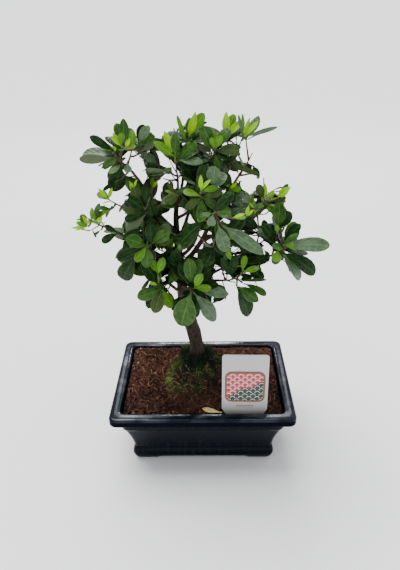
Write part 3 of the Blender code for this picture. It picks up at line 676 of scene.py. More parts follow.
def makeMound():
    steps = mound["upCells"]

    def place(around, along):
        if along > 1.0 - 0.5 / steps:
            centre = Vector((*mound["topCentre"], mound["high"]))
            return centre.lerp(moundPlace(around, 1.0), 0.3)
        return moundPlace(around, along * steps / (steps - 1))

    bm = rolledSheet(mound["aroundCells"], steps, place)
    under = mossy("moundEarth", mound["under"], mound["deep"], 260.0)
    addBump(under, objectPattern(under, 1500.0, detail=6.0), 0.8)
    finishPiece("mossBed", meshFrom(bm), [under], ["moss_mound"])


def makeMoss():
    rng = random.Random("moss")
    kinds = {"mossDeep": [], "mossGreen": [], "mossBright": []}
    side = mound["brightSide"]
    for _ in range(mound["sprigs"]):
        around, up = rng.random(), rng.random() ** mound["sprigUp"]
        root = moundPlace(around, up)
        stray = astray(rng, mound["patchStray"])
        patch = noise.noise(root * mound["patch"]) + stray + side * (0.25 - 0.5 * up)
        patch += side * max(0.0, -math.cos(math.tau * (around + 0.04)))
        kind = "mossGreen" if patch < mound["brightFrom"] else "mossBright"
        if patch < mound["greenFrom"]:
            kind = "mossDeep"
        bare = noise.noise(root * mound["bare"] + Vector(mound["bareShift"]))
        if bare > mound["bareRise"] * up + mound["bareFrom"]:
            continue
        lean = Vector((rng.uniform(-1, 1), rng.uniform(-1, 1), rng.uniform(-0.2, 0.6)))
        way = (moundNormal(around, up) + lean * mound["sprigLean"]).normalized()
        length = rng.uniform(*mound["sprigLong"])
        if up > mound["footFrom"]:
            length += mound["footLong"] * rng.random()
        curl = Vector((rng.uniform(-1, 1), rng.uniform(-1, 1), 0.3)) * mound["sprigCurl"]
        middle = root + way * length * mound["sprigKnee"]
        end = middle + (way + curl).normalized() * length * (1 - mound["sprigKnee"])
        thick = mound["sprigThick"] * rng.uniform(*mound["thickSpread"])
        kinds[kind].append(([root - way * 0.5, middle, end], [thick, thick * 0.75, 0.06]))
    tones = (("deep", "under"), ("green", "deep"), ("bright", "green"))
    for (name, strands), (first, second) in zip(kinds.items(), tones):
        material = mossy(name, mound[first], mound[second], 500.0, 0.7)
        finishPiece(name, strandMesh(strands), [material])


def makeTuft():  # a pale sprig that lies on the moss
    rng = random.Random("tuft")
    strands = []
    low, high = mound["tuftUp"]
    for _ in range(mound["tuftSprigs"]):
        around, up = (rng.gauss(middle, wide) for middle, wide in zip(mound["tuft"], mound["tuftWide"]))
        up = min(max(up, low), high)
        root, normal = moundPlace(around, up), moundNormal(around, up)
        way = moundPlace(around + rng.uniform(*mound["tuftTurn"]), up - mound["tuftFall"]) - root
        way = (way.normalized() + normal * rng.uniform(*mound["tuftLift"])).normalized()
        length = rng.uniform(*mound["tuftLong"])
        middle = root + way * length * 0.5 + normal * mound["tuftBow"]
        droop = Vector((astray(rng, mound["tuftStray"]), 0, rng.uniform(*mound["tuftDroop"])))
        end = middle + (way + droop) * length * 0.5
        thick = mound["tuftThick"] * rng.uniform(*mound["thickSpread"])
        strands.append(([root, middle, end], [thick, thick * 0.8, 0.08]))
    pale = mossy("mossTuft", mound["pale"], mound["bright"], 300.0, 0.7)
    finishPiece("mossTuft", strandMesh(strands), [pale])


def makeRoots():  # dry rootlets that hang over the moss
    rng = random.Random("roots")
    strands, cells = [], mound["rootCells"]
    for _ in range(mound["roots"]):
        around, up = rng.random(), rng.uniform(*mound["rootUp"])
        turn, climb = astray(rng, mound["rootTurn"]), rng.uniform(*mound["rootClimb"])
        climb *= rng.uniform(*mound["rootLong"]) / 20.0
        thick, arch = rng.uniform(*mound["rootThick"]), rng.uniform(*mound["rootArch"])
        places = moundLine(around, up, turn, climb, 1.0, mound["rootLift"], arch, cells, mound["rootSway"])
        strands.append((places, tapered(thick, mound["rootTaper"], cells)))
    root = mossy("dryRoot", mound["root"], soil["red"], 300.0)
    finishPiece("dryRootlets", strandMesh(strands), [root])


def makeMoundLitter():  # soil fibres that hide the mound's lower edge
    rng = random.Random("litter")
    strands, cells = [], mound["litterCells"]
    for _ in range(mound["litter"]):
        around, up = rng.random(), rng.random() ** mound["litterPack"] * mound["litterUp"]
        turn, climb = astray(rng, mound["litterTurn"]), astray(rng, mound["litterClimb"])
        arch = rng.uniform(*mound["litterArch"])
        places = moundLine(around, up, turn, climb, mound["litterMost"], mound["litterLift"], arch, cells)
        strands.append((places, tapered(rng.uniform(*soil["fibreThick"]), mound["litterTaper"], cells)))
    material = earth("moundLitter", soil["red"], soil["dark"], 260.0)
    finishPiece("moundLitter", strandMesh(strands), [material])


makeMound()
makeMoss()
makeTuft()
makeRoots()
makeMoundLitter()
print("moss mound made")


# Plant label: a card with a plain printed wave pattern in a frame

def finishOnLabel(name, bm, material, nodes=()):  # moves a flat shape to the card's place
    place = Vector((*label["place"], label["soilTop"] - label["sunk"])) * mm
    turn = Matrix.Rotation(math.radians(label["turn"]), 4, "Z")
    lean = Matrix.Rotation(math.radians(-label["lean"]), 4, "X")
    bmesh.ops.transform(bm, matrix=Matrix.Translation(place) @ turn @ lean, verts=bm.verts)
    finishPiece(name, meshFrom(bm), [material], nodes)


def slab(bm, outline, low, high):  # an upright plate from an outline seen from the front
    face = bm.faces.new([bm.verts.new((x * mm, low * mm, z * mm)) for x, z in outline])
    lifted = newVerts(bmesh.ops.extrude_face_region(bm, geom=[face]))
    bmesh.ops.translate(bm, verts=lifted, vec=(0, (high - low) * mm, 0))
    faceOutwards(bm)


def makeCard():
    half, tall, corner = label["wide"] / 2, label["tall"], label["round"]
    foot, chamfer = half - label["chamferWide"], label["chamferTall"]
    outline = [(-foot, 0), (foot, 0), (half, chamfer)]
    outline += arc((half - corner, tall - corner), corner, 0, 90, 8)
    outline += arc((-half + corner, tall - corner), corner, 90, 180, 8)
    outline.append((-half, chamfer))
    bm = bmesh.new()
    slab(bm, outline, label["thick"] / 2, -label["thick"] / 2)
    rims = [e for e in bm.edges if len(e.link_faces) == 2 and e.calc_face_angle(0) > 1.2]
    bmesh.ops.bevel(bm, geom=rims, offset=label["edge"] * mm, segments=2, profile=0.5,
                    affect="EDGES", material=-1)
    card = newMaterial("labelCard", label["card"], 0.38, Specular_IOR_Level=0.5)
    addBump(card, objectPattern(card, 800.0), 0.05, 0.4)
    finishOnLabel("plantLabel", bm, card, ["plant_label"])


def finishInk(name, bm, color):
    finishOnLabel(name, bm, mottle(newMaterial(name, color, 0.42), color, 900.0, 1.35))


def inked(name, shapes, color):  # printed shapes as (outline, layer), films proud of the card
    bm = bmesh.new()
    front = -label["thick"] / 2
    for outline, layer in shapes:
        slab(bm, outline, front + label["overlap"], front - label["ink"] * layer)
    finishInk(name, bm, color)


def window(shrink):  # outline of the print's rounded window
    halfX, halfZ, corner = (value - shrink for value in label["window"])
    line = []
    for quarter, (sx, sz) in enumerate(quarterSigns):
        centre = (sx * (halfX - corner), label["windowHeight"] + sz * (halfZ - corner))
        line += arc(centre, corner, 90 * quarter, 90 * quarter + 90, 6)
    return line


def keptInWindow(x, z, shrink):
    halfX, halfZ, corner = (value - shrink for value in label["window"])
    z -= label["windowHeight"]
    x, z = max(min(x, halfX), -halfX), max(min(z, halfZ), -halfZ)
    overX, overZ = abs(x) - (halfX - corner), abs(z) - (halfZ - corner)
    reach = math.hypot(max(overX, 0.0), max(overZ, 0.0))
    if reach > corner:
        x = math.copysign(halfX - corner + overX * corner / reach, x)
        z = math.copysign(halfZ - corner + overZ * corner / reach, z)
    return x, z + label["windowHeight"]


def scallopOutline(x, z, radius):
    outline = []
    inset = label["frameWide"] * label["scallopInset"]
    for i in range(label["scallopSides"]):
        angle = math.tau * i / label["scallopSides"]
        spot = keptInWindow(x + radius * math.cos(angle), z + radius * math.sin(angle), inset)
        if not outline or math.dist(spot, outline[-1]) > 0.01 and math.dist(spot, outline[0]) > 0.01:
            outline.append(spot)
    return outline


def makeFrame():
    bm = bmesh.new()
    front = -label["thick"] / 2 * mm
    face = bm.faces.new([bm.verts.new((x * mm, front, z * mm)) for x, z in window(0.0)])
    faceOutwards(bm)
    bmesh.ops.inset_individual(bm, faces=[face], thickness=label["frameWide"] * mm, use_even_offset=True)
    bmesh.ops.delete(bm, geom=[face], context="FACES")
    lifted = newVerts(bmesh.ops.extrude_face_region(bm, geom=bm.faces[:]))
    top = label["ink"] * label["rowLayer"] * (label["scallopRows"] + 2)
    bmesh.ops.translate(bm, verts=lifted, vec=(0, -top * mm, 0))
    faceOutwards(bm)
    finishInk("labelFrame", bm, label["brown"])


def makePrint():  # a field of plain overlapping scallops in the frame, and two rules below
    inked("labelField", [(window(label["frameWide"] * label["fieldInset"]), 1)], label["cream"])
    halfX, halfZ = label["window"][:2]
    radius = label["scallop"]
    tones = {"pink": [], "rose": [], "cream": [], "leaf": []}
    for row in range(label["scallopRows"]):
        z = label["windowHeight"] + halfZ - label["firstRow"] - row * label["scallopStep"]
        for column in range(-3, 4):
            x = (2 * column + row % 2) * radius
            if abs(x) > halfX:
                continue
            dark = label["darkSlope"] * x - (z - label["windowHeight"]) > label["darkFrom"]
            for ring, (tone, share) in enumerate(label["darkRings" if dark else "rings"]):
                outline = scallopOutline(x, z, radius * share)
                if len(outline) > 4:
                    tones[tone].append((outline, label["rowLayer"] * (row + 1) + label["ringLayer"] * ring))
    for tone, shapes in tones.items():
        inked("labelScallops" + tone.capitalize(), shapes, label[tone])
    half, rules = label["ruleHalf"], []
    for z, thick in label["rules"]:
        rules.append(([(-half, z), (half, z), (half, z + thick), (-half, z + thick)], 1))
    inked("labelRules", rules, label["brown"])


makeCard()
makeFrame()
makePrint()
print("label made")


# Limbs: the trunk and the boughs, by the same rule as the solids

trunk = {
    "line": (
        (-7.0, 24.0, 90.0), (-7.5, 22.0, 110.0), (-11.8, 18.0, 135.0), (-17.0, 13.0, 157.0),
        (-20.5, 9.0, 182.0), (-22.0, 4.0, 212.0), (-24.0, 0.0, 250.0), (-24.4, -2.0, 277.0),
        (-21.5, -4.0, 304.0),
    ),
    "radii": ((90, 9.6), (97, 8.0), (108, 7.2), (150, 6.8), (185, 5.9), (215, 4.7), (250, 3.4), (304, 1.9)),
    "rings": 15, "fineRings": 230, "resolution": 14, "sunk": 2.0,
    "lobes": 5, "lobeDeep": 1.28, "lobeTall": 16.0, "lobeTurn": 0.6, "slimUnder": 6.0,
    "furrow": 0.34, "grain": (0.5, 0.5, 0.10), "grainScale": 1.3,  # scales in cells a mm
    "lump": 0.75, "lumpScale": 0.09,
    "plump": ((90, 1.0), (104, 1.08), (125, 1.15), (165, 1.12), (210, 1.0), (304, 1.0)),
    "barkLow": (0.011, 0.0075, 0.0050), "barkHigh": (0.050, 0.035, 0.023),
    "barkGreen": (0.040, 0.041, 0.020),
}
bough = {
    "rings": 5, "tip": 1.5, "childShare": 0.72, "footMost": 3.4, "footGain": 0.02,
    "sweep": 0.9, "rise": 0.55, "gap": 0.3, "curveSteps": 24,
    "fineRings": 26, "collar": 1.5, "collarLong": 0.16, "slim": 0.88, "resolution": 4,
    "furrow": 0.16, "grainScale": 0.9, "knot": 2.0, "knotScale": 0.35,  # scales in cells a mm
    "bark": (0.036, 0.022, 0.013), "barkPale": (0.110, 0.072, 0.044),
}
# For each mass: the limb it grows from, the share along it, the bough's tip, the leading shoot's tip,
# the count of side shoots, their turn and the leaves' size
crown = {
    "lower_left": ("trunk", 0.45, (-36, -12, 207), (-41, -39, 219), 1, 290, 1.0),
    "lower_centre": ("trunk", 0.49, (-13, -26, 207), (-10, -57, 226), 1, 180, 1.1),
    "lower_right": ("trunk", 0.52, (18, -18, 212), (35, -42, 227), 1, 260, 1.0),
    "far_right": ("lower_right", 0.55, (64, -24, 240), (82, -34, 255), 1, 20, 1.3),
    "left_middle": ("trunk", 0.585, (-44, -24, 244), (-52, -48, 260), 1, 340, 1.0),
    "far_left": ("trunk", 0.62, (-84, -20, 268), (-105, -29, 283), 1, 70, 0.72),
    "centre_low": ("trunk", 0.66, (-4, -36, 266), (0, -62, 288), 1, 350, 1.0),
    "front_centre": ("top_right", 0.36, (8, -42, 282), (14, -73, 304), 1, 70, 1.1),
    "front_upper": ("trunk", 0.86, (-4, -36, 300), (1, -60, 318), 1, 350, 0.9),
    "left_shoulder": ("trunk", 0.74, (-42, -14, 277), (-51, -32, 294), 1, 190, 1.0),
    "left_shoot": ("left_shoulder", 0.6, (-66, -18, 287), (-86, -25, 302), 0, 30, 0.75),
    "upper_left": ("trunk", 0.8, (-64, -8, 323), (-77, -13, 339), 1, 310, 1.15),
    "top_left": ("trunk", 1.0, None, (-22, -20, 335), 1, 190, 0.95),
    "top": ("trunk", 0.93, (-8, 6, 331), (-9, 0, 352), 1, 70, 1.0),
    "top_centre": ("top_right", 0.66, (8, -8, 324), (14, -20, 345), 1, 200, 0.9),
    "top_right": ("trunk", 0.6, (31, 3, 331), (39, 0, 349), 1, 160, 0.95),
    "right_shoulder": ("top_right", 0.56, (24, -14, 290), (28, -28, 309), 1, 290, 0.95),
    "right_spur": ("top_right", 0.28, (52, 2, 270), (64, 0, 290), 1, 200, 0.8),
    "back_top": ("trunk", 0.9, (-18, 26, 320), (-24, 40, 338), 2, 90, 1.0),
    "back_upper_left": ("upper_left", 0.5, (-48, 32, 314), (-60, 46, 330), 1, 180, 1.0),
    "back_upper_right": ("top_right", 0.6, (42, 34, 310), (54, 48, 326), 2, 40, 1.0),
    "left_side": ("trunk", 0.54, (-62, 14, 236), (-82, 18, 248), 1, 100, 1.0),
    "right_side": ("top_right", 0.13, (52, 16, 232), (72, 22, 244), 1, 60, 1.0),
    "back_left": ("trunk", 0.64, (-56, 42, 268), (-74, 56, 284), 2, 100, 1.0),
    "back_right": ("top_right", 0.24, (56, 42, 266), (76, 56, 282), 2, 250, 1.0),
    "back_centre": ("trunk", 0.72, (-8, 54, 284), (-6, 68, 300), 2, 140, 1.0),
    "back_low_left": ("trunk", 0.48, (-38, 48, 218), (-50, 68, 232), 2, 30, 1.0),
    "back_low_right": ("trunk", 0.54, (22, 50, 218), (38, 68, 232), 2, 190, 1.0),
}


def spread(line, count):  # the same line given by evenly spaced places
    marks = [0.0]
    for a, b in zip(line, line[1:]):
        marks.append(marks[-1] + (b - a).length)
    places, seat = [], 0
    for i in range(count):
        want = marks[-1] * i / (count - 1)
        while seat < len(marks) - 2 and marks[seat + 1] < want:
            seat += 1
        share = (want - marks[seat]) / max(marks[seat + 1] - marks[seat], 1e-9)
        places.append(line[seat].lerp(line[seat + 1], share))
    return places


def through(points, count):  # a smooth line through the points
    points = [Vector(p) for p in points]
    padded = [points[0] * 2 - points[1]] + points + [points[-1] * 2 - points[-2]]
    fine = []
    for i in range(1, len(padded) - 2):
        a, b, c, d = padded[i - 1:i + 3]
        for step in range(bough["curveSteps"]):
            t = step / bough["curveSteps"]
            fine.append(0.5 * (2 * b + (c - a) * t + (2 * a - 5 * b + 4 * c - d) * t * t
                               + (3 * b - a - 3 * c + d) * t ** 3))
    fine.append(points[-1])
    return spread(fine, count)


def alongStations(stations, count):
    return through([place for place, _ in stations], count)


def sweep(start, startWay, end, endWay, count):  # leaves start and reaches end in the given ways
    span = (end - start).length * bough["sweep"]
    line = []
    for i in range(bough["curveSteps"] + 1):
        t = i / bough["curveSteps"]
        line.append(start * (2 * t ** 3 - 3 * t * t + 1) + end * (3 * t * t - 2 * t ** 3)
                    + startWay * span * (t ** 3 - 2 * t * t + t) + endWay * span * (t ** 3 - t * t))
    return spread(line, count)


def between(table, value):
    for (low, a), (high, b) in zip(table, table[1:]):
        if value <= high:
            return a + (b - a) * max(value - low, 0.0) / (high - low)
    return table[-1][1]


def stationAt(stations, share):  # place, radius and heading
    seat = share * (len(stations) - 1)
    low = min(int(seat), len(stations) - 2)
    (a, ra), (b, rb) = stations[low], stations[low + 1]
    return a.lerp(b, seat - low), ra + (rb - ra) * (seat - low), (b - a).normalized()


def offLine(point, start, way):
    off = point - start
    return (off - way * off.dot(way)).length


def boughStations(parent, share, tip, lead):  # places and radii, and where the buried foot starts
    start, parentRadius, parentWay = stationAt(parent, share)
    tip = Vector(tip)
    out = (tip - start) - parentWay * (tip - start).dot(parentWay)
    startWay = (out.normalized() + parentWay * bough["rise"]).normalized()
    endWay = (Vector(lead) - tip).normalized()
    places = sweep(start, startWay, tip, endWay, bough["curveSteps"] * 2)
    outside = [p for p in places if offLine(p, start, parentWay) > parentRadius + bough["gap"]]
    slender = bough["tip"] + (tip - start).length * bough["footGain"]
    foot = max(min(parentRadius * bough["childShare"], slender, bough["footMost"]), bough["tip"])
    stations = []
    for i, place in enumerate(spread(outside, bough["rings"])):
        stations.append((place, foot + (bough["tip"] - foot) * i / (bough["rings"] - 1)))
    return stations, start


def growLimbs():
    places = through(trunk["line"], trunk["rings"])
    limbs = {"trunk": [(p, between(trunk["radii"], p.z)) for p in places]}
    roots = {}
    waiting = [name for name, row in crown.items() if row[2]]
    while waiting:
        for name in list(waiting):
            parent, share, tip, lead = crown[name][:4]
            if parent in limbs:
                limbs[name], roots[name] = boughStations(limbs[parent], share, tip, lead)
                waiting.remove(name)
    return limbs, roots


def barkMaterial(name, low, high, green, upright):
    bark = newMaterial(name, high, 0.85, Specular_IOR_Level=0.3)
    furrows = objectPattern(bark, 420.0, upright, 8.0, 1.2)
    patches = objectPattern(bark, 60.0, detail=3.0)
    color = mixColor(bark, steer(bark, furrows, 0.36, 0.64), low, high)
    feed(bark, "Base Color", mixColor(bark, steer(bark, patches, 0.55, 0.75, 0.0, 0.5), color, green))
    addBump(bark, furrows, 0.5, 0.8)
    return bark


def roughen(mesh, amount):  # moves the skin in and out along its normals; amount(place, normal) in mm
    moves = [v.normal * amount(v.co / mm, v.normal) * mm for v in mesh.vertices]
    for vert, move in zip(mesh.vertices, moves):
        vert.co += move


def makeTrunk():
    line = [Vector(p) for p in trunk["line"]]
    foot = line[0].z
    line[0] -= Vector((0, 0, trunk["sunk"]))
    places = through(line, trunk["fineRings"])
    radii = [between(trunk["radii"], p.z) * between(trunk["plump"], p.z) for p in places]
    mesh = strandMesh([(places, radii)], trunk["resolution"])

    def relief(place, normal):
        angle = math.atan2(normal.y, normal.x)
        slim = min(1.0, between(trunk["radii"], place.z) / trunk["slimUnder"])
        fade = max(0.0, 1.0 - (place.z - foot) / trunk["lobeTall"])
        lobes = trunk["lobeDeep"] * fade * math.cos(trunk["lobes"] * angle + trunk["lobeTurn"])
        tall = Vector([c * share for c, share in zip(place, trunk["grain"])])
        furrows = noise.fractal(tall * trunk["grainScale"], 0.8, 2.2, 4) * trunk["furrow"]
        lumps = noise.noise(place * trunk["lumpScale"]) * trunk["lump"]
        return (furrows + lumps) * slim + lobes

    roughen(mesh, relief)
    bark = barkMaterial("trunkBark", trunk["barkLow"], trunk["barkHigh"], trunk["barkGreen"], (1, 1, 0.22))
    finishPiece("trunkWithBark", mesh, [bark], ["trunk"], 80.0)


def makeBoughs():
    strands = []
    for name, start in boughRoots.items():
        places = through([start] + [p for p, _ in limbs[name]], bough["fineRings"])
        radii = []
        for i in range(len(places)):
            share = i / (len(places) - 1)
            collar = 1.0 + (bough["collar"] - 1.0) * max(0.0, 1 - share / bough["collarLong"])
            radii.append(stationAt(limbs[name], share)[1] * bough["slim"] * collar)
        strands.append((places, radii))
    mesh = strandMesh(strands, bough["resolution"])

    def relief(place, _):
        knots = noise.noise(place * bough["knotScale"]) * bough["furrow"] * bough["knot"]
        return noise.fractal(place * bough["grainScale"], 0.8, 2.1, 3) * bough["furrow"] + knots

    roughen(mesh, relief)
    bark = barkMaterial("boughBark", bough["bark"], bough["barkPale"], trunk["barkGreen"], (1, 1, 0.6))
    finishPiece("boughsWithBark", mesh, [bark], ["bough_" + n for n in boughRoots], 80.0)


limbs, boughRoots = growLimbs()
makeTrunk()
makeBoughs()
print("trunk and boughs made")


# Foliage: twigs and leaves, grown on from the boughs' tips

twig = {
    "thick": 1.7, "thin": 1.35, "sideShare": 0.85, "rings": 4, "rise": 0.25,
    "sideReach": (20.0, 27.0), "sideStart": (0.30, 0.62), "sideTilt": (48.0, 66.0), "goldenTurn": 137.5,
    "slim": 0.78, "spurSlim": 0.7, "fineRings": 8, "taper": 0.5,
    "smallMass": 0.85,  # a mass with smaller leaves than this is sparse
    "spurs": (6, 8), "fewSpurs": (2, 1),  # small extra shoots on each leading shoot and on each bough
    "spurFrom": (0.15, 0.75), "spurOnBough": (0.5, 0.92), "spurThick": 1.2,
    "spurReach": (9.0, 16.0), "spurTilt": (45.0, 80.0),
    "bark": (0.042, 0.031, 0.017), "barkPale": (0.110, 0.082, 0.044),
    "young": (0.075, 0.110, 0.020), "youngPale": (0.15, 0.15, 0.04),
}
leaf = {
    "length": 32.0, "spread": (0.84, 1.14),
    "columns": (-1.0, -0.55, -0.05, 0.05, 0.55, 1.0),  # across, against the half width
    "rows": (0.0, 0.12, 0.28, 0.44, 0.60, 0.75, 0.88, 0.965, 1.0),  # along, against the length
    "shape": (0.36, 0.47), "youngNarrow": 0.78,  # width against length
    "look": {  # from least to most, with angles in radians
        "base": (0.74, 1.0), "blunt": (0.52, 0.72), "fold": (0.04, 0.34), "dome": (0.05, 0.35),
        "wave": (0.0, 0.16), "phase": (0.0, math.tau), "twist": (-0.4, 0.4), "bend": (0.05, 0.7),
    },
    "youngLook": {"blunt": 0.40, "fold": 0.2, "bend": -0.2},  # more or less of each on a young leaf
    "thick": 0.42, "stalkShare": 0.08, "stalkHalf": 0.7, "ribDeep": 0.16, "waves": 7.0,
    "tests": (  # turn, size
        (0, 1.0), (25, 0.95), (-25, 0.95), (60, 0.88), (-60, 0.88), (110, 0.8), (-110, 0.8),
    ),
    "leanStray": 12.0, "seatStray": 1.0, "roll": 0.35, "alongShoot": 0.8, "lift": 0.5,
    "youngerChance": 0.45, "olderChance": 0.25,  # how often a leaf is a tone brighter or darker
    "spaceSlack": 14.0, "mostLeaves": 20000, "veinSlant": 24.0, "veinRows": 36.0,
}
whorls = {  # per kind of shoot: leaves, lean, share of full size, how far below the tip, tone
    "leading": (
        (2, 104.0, 0.90, 11.0, "deep"), (5, 84.0, 1.0, 5.5, "deep"), (4, 60.0, 0.86, 3.0, "mid"),
        (2, 38.0, 0.60, 1.4, "fresh"),
    ),
    "spur": ((4, 78.0, 0.72, 3.0, "deep"), (3, 48.0, 0.56, 1.2, "mid")),
}
youngShoot = {
    "long": (4.0, 11.0), "leaves": (3, 5), "lean": (14.0, 46.0), "leanStray": 7.0, "size": (0.28, 0.48),
    "sizeSpread": (0.85, 1.2), "thick": 0.62, "taper": (1.25, 1.0, 0.7), "bow": 0.4, "leafed": 0.45,
    "sway": 0.3, "rise": 0.6, "chance": 0.6, "onSpur": 0.6,
    "longGain": (0.5, 0.7), "leavesGain": (0.55, 0.5), "limeGain": (0.35, 0.6),  # at rest, and with freshness
}
youth = {  # how much bright young growth a mass bears, from 0 to 1
    "elsewhere": 0.35,
    "upper_left": 0.9, "top": 0.95, "top_centre": 0.7, "top_right": 1.0, "top_left": 0.5,
    "front_upper": 0.8, "front_centre": 0.45, "right_spur": 1.0, "far_left": 1.0, "left_shoot": 1.0,
    "lower_left": 0.7, "lower_right": 0.5, "far_right": 0.4, "right_shoulder": 0.55,
    "left_middle": 0.25, "lower_centre": 0.3, "centre_low": 0.3, "left_shoulder": 0.3,
}
leafTones = {  # blade, second blade color, rib, underside, roughness, gloss
    "deep": (
        (0.0024, 0.0125, 0.0017), (0.0120, 0.0440, 0.0060), (0.021, 0.064, 0.011), (0.080, 0.110, 0.055),
        0.36, 0.09,
    ),
    "mid": (
        (0.0120, 0.0500, 0.0034), (0.0400, 0.1120, 0.0090), (0.052, 0.128, 0.013), (0.110, 0.170, 0.060),
        0.35, 0.18,
    ),
    "fresh": (
        (0.056, 0.170, 0.004), (0.100, 0.250, 0.008), (0.135, 0.280, 0.020), (0.160, 0.270, 0.040),
        0.36, 0.18,
    ),
    "lime": (
        (0.210, 0.450, 0.002), (0.300, 0.550, 0.004), (0.340, 0.570, 0.020), (0.270, 0.430, 0.030),
        0.36, 0.14,
    ),
    # this tone is deep leaves painted a pale grey-green: a painted sheen of the sky's reflection on
    # upward-facing blades
    "misty": (
        (0.0290, 0.0720, 0.0240), (0.0820, 0.1450, 0.0620), (0.092, 0.160, 0.066), (0.125, 0.165, 0.090),
        0.40, 0.46,
    ),
    "olive": (
        (0.0200, 0.0440, 0.0050), (0.0420, 0.0740, 0.0090), (0.060, 0.095, 0.016), (0.110, 0.140, 0.045),
        0.40, 0.18,
    ),
}
spray = {
    "start": 0.7, "stray": 6.0, "spread": (0.88, 1.12), "slope": (-0.30, 0.34),
    "bend": (0.15, 0.65),  # radians
    "toward": (0.7, 1.1), "lift": (0.25, 0.65), "roll": 0.3,  # how far a blade faces the camera and the sky
    "pushes": (0, 3, -3, 6, -6, 9, 12, 16, 20, 26), "laterYoung": 0.2, "laterDeep": 0.6,
    "twigThick": (1.05, 0.7), "longestTwig": 45.0, "greenTwig": 16.0, "twigSag": 0.10,
}
